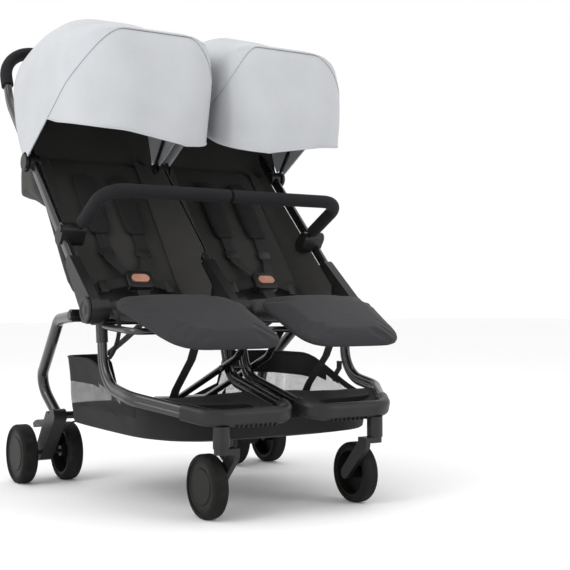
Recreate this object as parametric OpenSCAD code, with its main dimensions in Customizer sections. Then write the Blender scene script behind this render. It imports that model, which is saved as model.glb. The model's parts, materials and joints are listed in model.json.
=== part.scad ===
// Twin pram: a side-by-side folding pushchair for two children.
// Millimetres. The floor is z = 0, the front is -Y, and left is -X as seen from the front.

/* [Wheels] */
// Diameter of a rear tyre
rear_wheel_d = 142; // [120:1:160]
// Width of a rear tyre
rear_tyre_w = 38; // [30:1:42]
// Distance between the middles of the outer rear wheels
rear_outer_track = 702; // [680:1:760]
// Distance between the middles of the inner rear wheels
rear_inner_track = 474; // [450:1:480]
// Distance of the rear axle behind the middle of the pram
rear_axle_y = 255; // [240:1:280]
// Diameter of a front tyre
front_wheel_d = 132; // [110:1:140]
// Width of a front tyre
front_tyre_w = 34; // [28:1:38]
// Distance between the middles of the front wheels
front_track = 370; // [350:1:380]
// Distance of the caster stems before the middle of the pram
caster_y = 453; // [445:1:460]
// Distance that a front wheel trails behind its stem
caster_trail = 66; // [50:1:72]
// Diameter of an axle
axle_d = 10; // [8:0.5:12]
// Depth of the rubber of a tyre
tyre_depth = 13; // [8:1:18]

/* [Frame] */
// Distance between the middles of the push tubes
push_track = 680; // [670:1:690]
// Width of a push tube
push_tube_w = 18; // [16:1:19]
// Extra depth of a push tube over its width
push_tube_flat = 8; // [4:1:12]
// Height of the main hinge
hinge_z = 423; // [415:1:430]
// Distance of the main hinge before the middle of the pram
hinge_y = 156; // [150:1:160]
// Slope of the push tubes
push_angle = 44; // [42:0.5:46]
// Length of a push tube from its hinge to its knee
push_tube_len = 753; // [740:1:770]
// Height of the handle bar
handle_z = 1095; // [1075:1:1110]
// Distance of the handle bar behind the middle of the pram
handle_y = 452; // [440:1:470]
// Width of the foam grip
grip_w = 30; // [26:1:34]
// Width of a front loop tube
loop_tube_w = 16; // [14:1:18]
// Distance between the two lobes of a front loop tube
loop_tube_flat = 13; // [9:1:14]
// Height of the front run of a loop
loop_front_z = 210; // [205:1:220]
// Diameter of a rear leg tube
leg_d = 26; // [20:1:27]
// Diameter of the crossbar between the rear legs
crossbar_d = 18; // [14:1:22]
// Diameter of a seat rail
rail_d = 14; // [10:1:16]
// Width of a brace tube
brace_d = 15; // [12:1:16]
// Diameter of a hinge pin
hinge_pin_d = 10; // [8:0.5:12]

/* [Hoods] */
// Radius of a hood over its pivot
hood_r = 355; // [340:1:365]
// Radius of a hood's upper corners
hood_corner_r = 105; // [60:1:140]
// Thickness of the hood fabric
hood_t = 3; // [2:0.5:4]
// Distance of the hood pivot from the main hinge along the push tube
hood_pivot_s = 509; // [500:1:520]
// Angle of the front brim about the pivot
hood_brim_angle = 177; // [170:1:180]
// Angle of the middle bow about the pivot
hood_bow_angle = 128; // [120:1:132]
// Angle of the rear edge about the pivot
hood_rear_angle = 55; // [55:0.5:60]

/* [Seats] */
// Width of a seat cushion
cushion_w = 262; // [240:1:264]
// Length of a seat cushion
cushion_len = 168; // [150:1:172]
// Thickness of a seat cushion
cushion_t = 34; // [24:1:44]
// Thickness of a seat back
back_t = 26; // [20:1:32]
// Length of a seat back
back_len = 470; // [420:1:500]
// Slope of a seat back
back_angle = 52; // [50:1:56]
// Length of a calf pad
calf_len = 239; // [215:1:242]
// Width of a calf pad at the seat
calf_rear_w = 290; // [260:1:292]
// Width of a calf pad at its lip
calf_front_w = 232; // [200:1:240]
// Thickness of a calf pad
calf_t = 30; // [22:1:32]

/* [Bar] */
// Diameter of the foam on the bumper bar
bar_foam_d = 31; // [26:1:36]
// Diameter of the tube in the bumper bar
bar_tube_d = 16; // [12:1:18]
// Height of the bumper bar
bar_z = 683; // [670:1:695]
// Distance of the bumper bar before the middle of the pram
bar_y = 153; // [145:1:165]
// Distance between the arms of the bumper bar
bar_track = 620; // [610:1:624]

/* [Basket] */
// Width of the basket
basket_w = 584; // [540:1:586]
// Length of the basket
basket_len = 558; // [500:1:562]
// Thickness of the basket cloth
basket_t = 3; // [2:0.5:5]
// Height of the basket floor at its edge
basket_floor_z = 158; // [154:1:170]
// Height of the basket's rim at its sides and rear
basket_rim_z = 310; // [285:1:320]

/* [Hidden] */
$fn = 48;

// Gaps, fits and overruns
gap = 0.3;
fit = 0.05;
overrun = 4;
swell = 0.15;
tuck = 2;

// Main places in the side view, as [y, z]
left = -1;
right = 1;
hinge = [-hinge_y, hinge_z];
push_dir = [cos(push_angle), sin(push_angle)];
push_normal = [-sin(push_angle), cos(push_angle)];
knee = hinge + push_dir * push_tube_len;
handle = [handle_y, handle_z];
neck_dir = (handle - knee) / norm(handle - knee);
push_x = push_track / 2;
rear_r = rear_wheel_d / 2;
front_r = front_wheel_d / 2;
rear_axle = [rear_axle_y, rear_r];
front_axle = [caster_trail - caster_y, front_r];
knee_r = 120;
handle_corner_r = 85;
push_half_w = push_tube_w / 2;
push_up = [0, push_normal[0], push_normal[1]];

// Hinge pieces
knuckle_wall = 2.5;
knuckle_r = 30;
knuckle_neck_r = 16;
knuckle_len = 150;
knuckle_seat = 34;
knuckle_half_w = push_half_w + knuckle_wall;
body_w = 20;
body_r = 28;
body_outer_x = push_x - knuckle_half_w - gap;
body_x = body_outer_x - body_w / 2;
lug_r = 16;
rear_pivot_offset = [81, -13];
rear_pivot = hinge + rear_pivot_offset;
pin_r = hinge_pin_d / 2;
pin_head_r = 10;
pin_head_t = 3;
sleeve_wall = (body_w - loop_tube_w) / 2;
sleeve_lap = 6;
sleeve_len = 48;
sleeve_top_z = hinge_z - body_r + sleeve_lap;

// Front loops
loop_half_w = loop_tube_w / 2;
loop_half_d = loop_half_w + loop_tube_flat / 2;
loop_waist_share = 0.8;
loop_low_offset = [-9, -159];
loop_mid_offset = [-136, -180];
loop_front_lead = 5.7;
loop_rise_lead = 34;
loop_rise_h = 60;
loop_end_back = 6;
loop_low_inset = 2;
loop_mid_inset = 6;
loop_corner_out = 29;
loop_inner_x = 22;
sleeve_cap_t = 4;
loop_low = hinge + loop_low_offset;
loop_mid = hinge + loop_mid_offset;
loop_front = [-caster_y - loop_front_lead, loop_front_z];
loop_rise = [hinge[0] - loop_rise_lead, loop_front_z + loop_rise_h];
loop_end_z = sleeve_top_z - sleeve_cap_t;
loop_low_x = body_x - loop_low_inset;
loop_mid_x = body_x - loop_mid_inset;
loop_corner_x = front_track / 2 + loop_corner_out;
loop_up = [0, -1, 0];
loop_bends = [0, 80, 90, 55, 45, 70, 0];
loop_path = [
    [body_x, hinge[0], loop_end_z],
    [loop_low_x, loop_low[0], loop_low[1]],
    [loop_mid_x, loop_mid[0], loop_mid[1]],
    [loop_corner_x, loop_front[0], loop_front[1]],
    [loop_inner_x, loop_front[0], loop_front[1]],
    [loop_inner_x, loop_rise[0], loop_rise[1]],
    [loop_inner_x, hinge[0] + loop_end_back, loop_end_z]
];

// Casters and their shoes
shoe_wall = 4;
shoe_rise = 0;
shoe_lead = 68;
shoe_tail = 52;
shoe_low_z = loop_front_z - loop_half_d - shoe_wall;
shoe_bends = [for (k = [0, 3, 4, 0]) loop_bends[k]];
rib_t = 3;
rib_drop = 1.5;
rib_count = 9;
rib_run = 100;
rib_depth = 20;
stem_out = 4;
stem_x = front_track / 2 + stem_out;
stem_r = 6;
stem_len = 36;
socket_r = 17;
socket_headroom = 18;
socket_low_z = front_wheel_d + socket_headroom;
socket_top_z = shoe_low_z + shoe_wall / 2;
crown_t = 12;
crown_r = 15;
blade_t = 11;
blade_axle_r = 13;
blade_gap = 2;
blade_outer_x = front_track / 2 - front_tyre_w / 2 - blade_gap;

// Wheels
tyre_edge_r = 9;
wheel_disc_t = 4;
wheel_recess = 2;
wheel_rim_t = 5;
wheel_hub_r = 13;
wheel_ring_share = 0.72;
axle_r = axle_d / 2;

// Rear frame
leg_r = leg_d / 2;
leg_clear = 1.5;
rear_mid_x = (rear_outer_track + rear_inner_track) / 4;
leg_knee_offset = [123, -10];
leg_heel_offset = [315, -165];
leg_foot_offset = [-92, 96];
leg_knee_inset = 4;
leg_heel_out = 17;
leg_knee = rear_pivot + leg_knee_offset;
leg_heel = rear_pivot + leg_heel_offset;
leg_foot = rear_axle + leg_foot_offset;
leg_knee_x = push_x - leg_knee_inset;
leg_heel_x = rear_mid_x + leg_heel_out;
leg_bends = [0, 50, 45, 0];
leg_path = [
    [body_outer_x + leg_clear + leg_r, rear_pivot[0], rear_pivot[1]],
    [leg_knee_x, leg_knee[0], leg_knee[1]],
    [leg_heel_x, leg_heel[0], leg_heel[1]],
    [rear_mid_x, leg_foot[0], leg_foot[1]]
];
leg_knuckle_r = 14;
leg_knuckle_w = 34;
housing_w = 32;
housing_top_r = 17;
housing_axle_r = 20;
guard_r = 80;
guard_t = 12;
guard_w = 30;
guard_start = 58;
guard_sweep = 76;
crossbar_offset = [-60, 94];
crossbar = rear_axle + crossbar_offset;
crossbar_r = crossbar_d / 2;
pedal_offset = [46, 34];
pedal_reach = [40, 6];
pedal_pivot = rear_axle + pedal_offset;
pedal_tip = pedal_pivot + pedal_reach;
pedal_r = 9;
pedal_tip_r = 6;
pedal_w = 27;
pedal_pin_r = 4;
ear_t = 3;
cable_r = 2;
cable_drop = 17;
cable_bend_r = 12;
cable_in = 32;

// Seat rails and braces
rail_r = rail_d / 2;
front_rail_offset = [-159, -43];
rear_rail_drop = 14;
front_rail = hinge + front_rail_offset;
rear_rail = rear_pivot - [0, rear_rail_drop];
rail_clear = 2;
rail_start_drop = 35;
rail_bend_r = 30;
brace_r = brace_d / 2;
brace_gap = 1.5;
brace_bow_offset = [60, -62];
brace_low_offset = [355, -175];
brace_heel_len = 45;
brace_x = loop_inner_x + loop_half_w + brace_r + brace_gap;
brace_bow = front_rail + brace_bow_offset;
brace_low = front_rail + brace_low_offset;
brace_radial = (crossbar - rear_pivot) / norm(crossbar - rear_pivot);
brace_heel = crossbar - brace_radial * brace_heel_len;
brace_bends = [0, 40, 120, 22, 0];
brace_path = [
    front_rail + (brace_bow - front_rail) / norm(brace_bow - front_rail) * (rail_r + gap),
    brace_bow, brace_low, brace_heel,
    crossbar - brace_radial * (crossbar_r + gap)
];
rivet_offset = [-38, -131];
rivet = hinge + rivet_offset;
rivet_r = 3.5;
rivet_head_r = 6;
rivet_head_t = 2.5;

// Centre hinge
slot_half_w = knuckle_half_w + gap;
cheek_t = 24;
cheek_x = slot_half_w + cheek_t;
cheek_low_r = 22;
cheek_drop = 51;
slot_top = 60;

// Handle
tee_half_w = 24;
tee_r = 22;
tee_neck_r = 18;
tee_len = 50;
grip_wall = (grip_w - push_tube_w) / 2;
grip_start_share = 0.3;

// Hoods: the layers of each side wall, from the push tube outwards
hood_pivot = hinge + push_dir * hood_pivot_s;
clamp_r = 18;
clamp_wall = 4;
clamp_x = push_x + push_half_w + clamp_wall;
centre_clamp_x = push_half_w + clamp_wall;
bow_t = 2.5;
bow_depth = 6;
bow_w = 10;
bow_hub_r = 13;
bow_root_share = 0.7;
layer = hood_t + gap;
bow_outer_x = clamp_x + gap + bow_t;
front_outer_x = bow_outer_x + layer;
rear_outer_x = front_outer_x + layer;
rear_inner_x = centre_clamp_x + gap;
front_inner_x = rear_inner_x + layer;
bow_inner_x = front_inner_x + layer;
front_hood_r = hood_r - layer;
bow_r = front_hood_r - layer;
hood_tip_r = 24;
cap_r = 20;
cap_t = 3.5;
hood_lap = 3;
hem_rear_offset = [-110, 95];
hem_front_offset = [-370, 29];
hem_rear = hood_pivot + hem_rear_offset;
hem_front = hood_pivot + hem_front_offset;
hood_pin_r = 5;

// Seats
wing_t = 4;
wing_edge = 2;
wing_clear = 12;
wing_drop = clamp_r + wing_clear;
wing_outer_x = clamp_x - push_tube_w - clamp_wall * 2 - gap;
wing_inner_x = centre_clamp_x + gap;
wing_shares = [0.11, 0.6];
back_dir = [cos(back_angle), sin(back_angle)];
back_foot_offset = [151, 9];
back_foot = hinge + back_foot_offset;
back_inner_x = wing_inner_x + wing_t + gap;
back_outer_x = wing_outer_x - wing_t - gap;
back_up = [-sin(back_angle), cos(back_angle)];
wing_foot_x = 116;
back_fill_share = 0.976;
back_w = (back_outer_x - back_inner_x) / back_fill_share;
back_x = (back_outer_x + back_inner_x) / 2;
back_crown = 9;
wing_back_shares = [0.03, 0.78];
pouch_shares = [0.7, 0.97];
pouch_rear_shares = [0.97, 1.11];
pouch_depths = [100, 56];
pouch_corner_r = 12;
pouch_inset = 8;
cushion_gap = 1.2;
cushion_setback = 32;
cushion_x = cheek_x + cushion_gap + cushion_w / 2;
cushion_rear_y = back_foot[0] - cushion_setback;
cushion_low_z = rear_rail[1] + rail_r + gap;
cushion_crown = 8;
calf_slope = 22.5;
calf_x = 166;
calf_skew = 14;
calf_crown = 6;
calf_gap = 4;
calf_rise = 70;
calf_rear = [cushion_rear_y - cushion_len - calf_gap, front_rail[1] + calf_rise];
cushion_power = 5;
calf_power = 4.5;
back_power = 6;
pad_edge_power = 10;
pad_sides = 36;
pad_ring_shares = [0, 0.4, 0.7, 0.88, 0.97];
pad_pinch_share = 0.03;

// Harness
strap_t = 3;
strap_w = 26;
shoulder_x = 48;
shoulder_w = 58;
shoulder_shares = [0.17, 0.42, 0.8];
strap_lift = back_t / 2 + back_crown + gap;
buckle_w = 66;
buckle_len = 50;
buckle_t = 20;
buckle_at = [0, 32, 50];
buckle_corner_r = 9;
button_r = 11;
button_flat = 22;
button_proud = 3;
button_depth = 8;
button_travel = 3;
waist_x = 106;
waist_at = [24, 22];
crotch_w = 30;
crotch_setback = 40;
crotch_crown_share = 0.8;
crotch_foot = [cushion_rear_y - crotch_setback,
               cushion_low_z + cushion_t + cushion_crown * crotch_crown_share + gap];
crotch_rise = [26, 22];

// Bumper bar
bar_x = bar_track / 2;
bar_clamp_s = 235;
bar_offset = 26;
bar_seat = hinge + push_dir * bar_clamp_s + push_normal * bar_offset;
bar_front = [-bar_y, bar_z];
bar_dir = (bar_front - bar_seat) / norm(bar_front - bar_seat);
bar_r = bar_tube_d / 2;
bar_corner_r = 50;
bar_plug = 14;
bar_block_r = 14;
bar_foam_start = 24;
bar_button_r = 9;
bar_button_len = 12;

// Basket
basket_front = 394;
basket_y = basket_len / 2 - basket_front;
basket_power = 4;
basket_sag = 26;
basket_end_h = 16;
basket_end_z = basket_floor_z + basket_end_h;
basket_front_h = 72;
basket_front_z = basket_floor_z + basket_front_h;
basket_dip_h = 36;
basket_dip_z = basket_floor_z + basket_dip_h;
basket_dip_w = 60;
basket_notch_w = 120;
basket_rise_shares = [0.2, 0.7];
basket_flare_share = 0.96;
basket_sides = 40;
basket_floor_shares = [0, 0.35, 0.7, 0.93];

// Straps of the basket
basket_strap_w = 24;
basket_strap_t = 2;
side_strap_back = 12;
side_strap_y = loop_low[0] + side_strap_back;
rear_strap_x = 172;
rear_strap_share = 0.95;

// Geometry helpers
function unit(v) = v / norm(v);
function at_x(x, p) = [x, p[0], p[1]];
function along(s) = hinge + push_dir * s;
function bend_run(r, a, b) = r * tan(acos(min(1, max(-1, a * b))) / 2);
function carried(up, a, b) =
    let (axis = cross(a, b), s = norm(axis), c = a * b)
    s < 0.0001 ? up : up * c + cross(axis, up) + axis * (axis * up) * (1 - c) / (s * s);
function run_dir(path, i) = unit(path[i + 1] - path[i]);
function run_up(path, up, i) =
    i == 0 ? unit(up - run_dir(path, 0) * (up * run_dir(path, 0)))
           : carried(run_up(path, up, i - 1), run_dir(path, i - 1), run_dir(path, i));
function power_of(v, p) = sign(v) * pow(abs(v), p);
function mix(a, b, t) = a + (b - a) * t;
function ring_faces(rings, sides, from) = [
    for (k = [0 : rings - 2], i = [0 : sides - 1], half = [0, 1])
        let (j = (i + 1) % sides, a = from + k * sides, b = a + sides)
        half == 0 ? [a + i, b + j, a + j] : [a + i, b + i, b + j]
];
function cap_faces(tip, from, sides, flip) = [
    for (i = [0 : sides - 1])
        let (j = (i + 1) % sides)
        flip ? [tip, from + j, from + i] : [tip, from + i, from + j]
];

module side(s) mirror([s < 0 ? 1 : 0, 0, 0]) children();

module both_sides() {
    children();
    mirror([1, 0, 0]) children();
}

module frame_at(p, x, y, z)
    multmatrix([[x[0], y[0], z[0], p[0]], [x[1], y[1], z[1], p[1]], [x[2], y[2], z[2], p[2]], [0, 0, 0, 1]])
        children();

// A side-view outline drawn as [y, z], given its thickness from x0 to x1
module slab(x0, x1) translate([x0, 0, 0]) rotate([90, 0, 90]) linear_extrude(x1 - x0) children();

module pin(p, r, x0, x1) translate([x0, p[0], p[1]]) rotate([0, 90, 0]) cylinder(r = r, h = x1 - x0);

module disc(p, r) translate(p) circle(r);

// Two discs and their outer tangents
module link(p, rp, q, rq) {
    d = norm(q - p);
    u = (q - p) / d;
    n = [-u[1], u[0]];
    c = (rp - rq) / d;
    s = sqrt(1 - c * c);
    disc(p, rp);
    disc(q, rq);
    corners = [[p, rp, 1], [p, rp, -1], [q, rq, -1], [q, rq, 1]];
    polygon([for (e = corners) e[0] + (u * c + n * s * e[2]) * e[1]]);
}

module oval(w, flat, grow = 0, waist_share = 1) {
    for (e = [-1, 1]) translate([0, e * flat / 2]) circle(w / 2 + grow);
    square([w * waist_share + 2 * grow, flat], center = true);
}

module round_tube(r, grow = 0) circle(r + grow);

// A tube along a path with round bends: child 0 is its section, and child 1 the section of its bends
module sweep(path, radii, up) {
    n = len(path);
    dirs = [for (i = [0 : n - 2]) unit(path[i + 1] - path[i])];
    runs = [for (i = [0 : n - 1]) i == 0 || i == n - 1 ? 0 : bend_run(radii[i], dirs[i - 1], dirs[i])];
    first_up = unit(up - dirs[0] * (up * dirs[0]));
    ups = [
        for (i = 0, u = first_up; i < n - 1;
             i = i + 1, u = i < n - 1 ? carried(u, dirs[i - 1], dirs[i]) : u) u
    ];
    for (i = [0 : n - 2]) {
        back = i == 0 ? 0 : tuck;
        ahead = i == n - 2 ? 0 : tuck;
        frame_at(path[i] + dirs[i] * (runs[i] - back), cross(ups[i], dirs[i]), ups[i], dirs[i])
            linear_extrude(norm(path[i + 1] - path[i]) - runs[i] - runs[i + 1] + back + ahead)
                children(0);
    }
    for (i = [1 : n - 2]) {
        axis = unit(cross(dirs[i - 1], dirs[i]));
        out = cross(dirs[i - 1], axis);
        across = cross(ups[i - 1], dirs[i - 1]);
        frame_at(path[i] - dirs[i - 1] * runs[i] - out * radii[i], out, dirs[i - 1], axis)
            rotate_extrude(angle = acos(dirs[i - 1] * dirs[i]))
                translate([radii[i], 0])
                    rotate(atan2(across * axis, across * out))
                        children(1);
    }
}

// A straight cut for a tube that starts at p and runs along d
module tube_cut(p, d, up, len) {
    u = unit(up - d * (up * d));
    frame_at(p, cross(u, d), u, d) linear_extrude(len) children();
}

// A revolve about the X axis through p, from one angle to another, of a profile drawn as [radius, x]
module turn_x(p, from, to)
    translate([0, p[0], p[1]]) rotate([90, 0, 90]) rotate([0, 0, from])
        rotate_extrude(angle = to - from) children();

// A padded form: a rounded outline with drawn-in sides, a flat underside and a crowned top
module padded(rear_w, front_w, len, thick, crown, skew, power) {
    rings = len(pad_ring_shares);
    function edge(a) =
        let (sx = power_of(cos(a), 2 / power), sy = power_of(sin(a), 2 / power))
        let (w = mix(front_w, rear_w, (sy + 1) / 2) * (1 - pad_pinch_share * (1 - sy * sy)))
        [sx * w / 2 + skew * sy, sy * len / 2 * (1 - pad_pinch_share * (1 - sx * sx))];
    function ring(f, top) = [
        for (i = [0 : pad_sides - 1])
            let (e = edge(360 * i / pad_sides), lift = sqrt(1 - pow(f, pad_edge_power)))
            [e[0] * f, e[1] * f, top ? lift * thick / 2 + crown * (1 - f * f) : -lift * thick / 2]
    ];
    tops = [for (k = [1 : rings - 1]) each ring(pad_ring_shares[k], true)];
    rim = ring(1, true);
    lows = [for (k = [rings - 1 : -1 : 1]) each ring(pad_ring_shares[k], false)];
    points = concat([[0, 0, thick / 2 + crown]], tops, rim, lows, [[0, 0, -thick / 2]]);
    polyhedron(points, concat(
        cap_faces(0, 1, pad_sides, true),
        [for (f = ring_faces(2 * rings - 1, pad_sides, 1)) [f[0], f[2], f[1]]],
        cap_faces(len(points) - 1, 1 + (2 * rings - 2) * pad_sides, pad_sides, false)));
}

// Front loops and footrests

module front_loop(s) color("#1c1c1e")
    side(s) sweep(loop_path, loop_bends, loop_up) {
        oval(loop_tube_w, loop_tube_flat, 0, loop_waist_share);
        oval(loop_tube_w, loop_tube_flat, swell, loop_waist_share);
    }

module loop_cut(p, d, len) tube_cut(p, d, loop_up, len) oval(loop_tube_w, loop_tube_flat, fit);

// The shoe follows the loop round its two front corners
module shoe_section(grow) difference() {
    translate([0, shoe_rise / 2]) oval(loop_tube_w, loop_tube_flat + shoe_rise, shoe_wall + grow);
    oval(loop_tube_w, loop_tube_flat, 2 * swell - grow);
}

module caster_shoe(s) color("#2a2a2c") side(s) difference() {
    union() {
        sweep([loop_path[3] - run_dir(loop_path, 2) * shoe_lead, loop_path[3], loop_path[4],
               loop_path[4] + run_dir(loop_path, 4) * shoe_tail],
              shoe_bends, run_up(loop_path, loop_up, 2)) {
            shoe_section(0);
            shoe_section(swell / 2);
        }
        translate([stem_x, -caster_y, socket_low_z])
            cylinder(r = socket_r, h = socket_top_z - socket_low_z);
        for (k = [0 : rib_count - 1])
            translate([(loop_corner_x + loop_inner_x - rib_run) / 2 + rib_run * k / rib_count,
                       loop_front[0] - rib_depth / 2, shoe_low_z - rib_drop])
                cube([rib_t, rib_depth, rib_drop + shoe_wall / 2]);
    }
    translate([stem_x, -caster_y, socket_low_z - overrun])
        cylinder(r = stem_r + fit, h = stem_len + overrun + gap);
}

// Hinges

module hinge_bodies() color("#242426") both_sides() difference() {
    union() {
        slab(body_outer_x - body_w, body_outer_x) link(hinge, body_r, rear_pivot, lug_r);
        tube_cut([body_x, hinge[0], sleeve_top_z], sleeve_dir(), loop_up, sleeve_len)
            oval(loop_tube_w, loop_tube_flat, sleeve_wall);
    }
    loop_cut([body_x, hinge[0], loop_end_z + gap], sleeve_dir(), sleeve_len + overrun);
    pin(hinge, pin_r + fit, body_outer_x - body_w - overrun, body_outer_x + overrun);
    pin(rear_pivot, pin_r + fit, body_outer_x - body_w - overrun, body_outer_x + overrun);
}

function sleeve_dir() = run_dir(loop_path, 0);

function inner_sleeve_dir() = -run_dir(loop_path, 5);

module centre_hinge() color("#242426") difference() {
    slab(-cheek_x, cheek_x)
        link(hinge, body_r, hinge + [loop_end_back - sleeve_cap_t / 2, -cheek_drop], cheek_low_r);
    slab(-slot_half_w, slot_half_w)
        translate(hinge - [slot_top, knuckle_r + gap]) square([2 * slot_top, slot_top + knuckle_r]);
    both_sides()
        loop_cut(loop_path[6] - inner_sleeve_dir() * gap, inner_sleeve_dir(), cheek_drop + 2 * cheek_low_r);
    pin(hinge, pin_r + fit, -cheek_x - overrun, cheek_x + overrun);
}

module frame_rivets() color("#8d9094") {
    both_sides() {
        headed_pin(hinge, body_outer_x - body_w, push_x + knuckle_half_w + gap);
        headed_pin(rear_pivot, body_outer_x - body_w, push_x + leg_knuckle_w / 2 + gap);
    }
    pin(hinge, pin_r, -cheek_x, cheek_x);
    pin(rivet, rivet_r, -brace_x - brace_r, brace_x + brace_r);
    both_sides() pin(rivet, rivet_head_r, brace_x + brace_r, brace_x + brace_r + rivet_head_t);
}

module headed_pin(p, x0, x1) {
    pin(p, pin_r, x0, x1);
    pin(p, pin_head_r, x1, x1 + pin_head_t);
}

module braces() color("#1c1c1e") both_sides()
    sweep([for (p = brace_path) at_x(brace_x, p)], brace_bends, [1, 0, 0]) {
        round_tube(brace_r);
        round_tube(brace_r, swell);
    }

// Seat rails, cushions and pads

module seat_rails() color("#1c1c1e") {
    start = [body_x, hinge[0] - loop_half_d - sleeve_wall - rail_clear, hinge_z - rail_start_drop];
    corner = at_x(body_x, front_rail);
    flip = [-1, 1, 1];
    sweep([start, corner, [for (i = [0 : 2]) corner[i] * flip[i]], [for (i = [0 : 2]) start[i] * flip[i]]],
          [0, rail_bend_r, rail_bend_r, 0], [0, 0, 1]) {
        round_tube(rail_r);
        round_tube(rail_r, swell);
    }
    pin(rear_rail, rail_r, body_w - body_outer_x + gap, body_outer_x - body_w - gap);
}

module seat_cushion(s) color("#2f2d2d") side(s)
    translate([cushion_x, cushion_rear_y - cushion_len / 2, cushion_low_z + cushion_t / 2])
        padded(cushion_w, cushion_w, cushion_len, cushion_t, cushion_crown, 0, cushion_power);

module calf_pad(s) color("#3c3c40") side(s)
    translate([calf_x, calf_rear[0], calf_rear[1]]) rotate([calf_slope, 0, 0])
        translate([0, -calf_len / 2, 0])
            padded(calf_rear_w, calf_front_w, calf_len, calf_t, calf_crown, calf_skew, calf_power);

// Basket and its straps

module basket() {
    inner = basket_t;
    function edge(a, inset) = [
        power_of(cos(a), 2 / basket_power) * (basket_w / 2 - inset),
        basket_y + power_of(sin(a), 2 / basket_power) * (basket_len / 2 - inset)
    ];
    // The rear is notched for the braces, and the front dips under the loop tubes
    function rim_z(p) =
        let (y = (p[1] - basket_y) / basket_len + 1 / 2)
        let (rise = (y - basket_rise_shares[0]) / (basket_rise_shares[1] - basket_rise_shares[0]))
        y > 1 / 2 && abs(p[0]) < basket_notch_w ? basket_end_z :
        y < 1 / 2 && abs(p[0]) < basket_dip_w ? basket_dip_z :
        mix(basket_front_z, basket_rim_z, max(0, min(1, rise)));
    function floor_ring(f, inset, z) = [
        for (i = [0 : basket_sides - 1])
            let (e = edge(360 * i / basket_sides, inset))
            [e[0] * f, mix(basket_y, e[1], f), z - basket_sag * (1 - f * f)]
    ];
    function rim_ring(inset) = [
        for (i = [0 : basket_sides - 1])
            let (a = 360 * i / basket_sides, e = edge(a, inset))
            [e[0], e[1], rim_z(edge(a, 0))]
    ];
    foot = (1 - basket_flare_share) * basket_w / 2;
    shares = basket_floor_shares;
    outer = [for (k = [1 : len(shares) - 1]) each floor_ring(shares[k], foot, basket_floor_z)];
    outer_edge = floor_ring(1, foot, basket_floor_z + inner);
    inner_edge = floor_ring(1, foot + inner, basket_floor_z + 2 * inner);
    inside = [
        for (k = [len(shares) - 1 : -1 : 1])
            each floor_ring(shares[k], foot + inner, basket_floor_z + inner)
    ];
    points = concat(
        [[0, basket_y, basket_floor_z - basket_sag]],
        outer, outer_edge, rim_ring(0), rim_ring(inner), inner_edge, inside,
        [[0, basket_y, basket_floor_z + inner - basket_sag]]);
    rings = 2 * len(shares) + 2;
    color("#202023") polyhedron(points, concat(
        cap_faces(0, 1, basket_sides, false),
        ring_faces(rings, basket_sides, 1),
        cap_faces(len(points) - 1, 1 + (rings - 1) * basket_sides, basket_sides, true)));
}

module straps() color("#19191b") both_sides() {
    // From the basket's side wall to the loop tube
    strap_between([basket_w / 2 + basket_strap_t / 2 + gap, side_strap_y, loop_low[1] - basket_strap_w / 2],
                  [loop_low_x - loop_half_w - basket_strap_t / 2 - gap, side_strap_y,
                   loop_low[1] + basket_strap_w],
                  [basket_strap_t, basket_strap_w, basket_strap_w]);
    // From the basket's rear rim to the rear seat rail
    strap_between([rear_strap_x, basket_y + basket_len / 2 * rear_strap_share,
                   basket_rim_z + basket_strap_t / 2 + gap],
                  [rear_strap_x, rear_rail[0] + rail_r + basket_strap_t / 2 + gap, rear_rail[1]],
                  [basket_strap_w, basket_strap_t, basket_strap_t]);
    // From the cushion to the buckle
    strap_between([cushion_x, crotch_foot[0], crotch_foot[1] + strap_t / 2],
                  [cushion_x, crotch_foot[0] + crotch_rise[0], crotch_foot[1] + crotch_rise[1]],
                  [crotch_w, strap_t, strap_t]);
}

module strap_between(a, b, size) hull() for (p = [a, b]) translate(p) cube(size, center = true);

// Casters and wheels

module caster_fork(s) color("#2a2a2c") side(s) {
    crown_z = socket_low_z - gap - crown_t;
    translate([stem_x, -caster_y, crown_z]) cylinder(r = stem_r, h = crown_t + gap + stem_len);
    translate([stem_x, -caster_y, crown_z]) cylinder(r = crown_r, h = crown_t);
    translate([blade_outer_x - blade_t, -caster_y - crown_r, crown_z])
        cube([stem_x - blade_outer_x + blade_t, 2 * crown_r, crown_t]);
    slab(blade_outer_x - blade_t, blade_outer_x)
        link([-caster_y, crown_z + crown_t - crown_r], crown_r, front_axle, blade_axle_r);
    pin(front_axle, axle_r, blade_outer_x - blade_t, axle_end_x(front_track / 2, front_tyre_w));
}

function axle_end_x(x, w) = x + w / 2 - wheel_recess - wheel_disc_t - gap;

// A wheel's closed face points along +X from its middle at x
module tyre(p, x, w, r) color("#2b2a29") turn_x(p, 0, 360) translate([r - tyre_depth, x]) {
    flat = tyre_depth - tyre_edge_r;
    intersection() {
        translate([0, -w / 2]) square([tyre_depth, w]);
        union() {
            translate([0, -w / 2]) square([flat, w]);
            translate([0, tyre_edge_r - w / 2]) square([tyre_depth, w - 2 * tyre_edge_r]);
            for (e = [-1, 1]) translate([flat, e * (w / 2 - tyre_edge_r)]) circle(tyre_edge_r);
        }
    }
}

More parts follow.
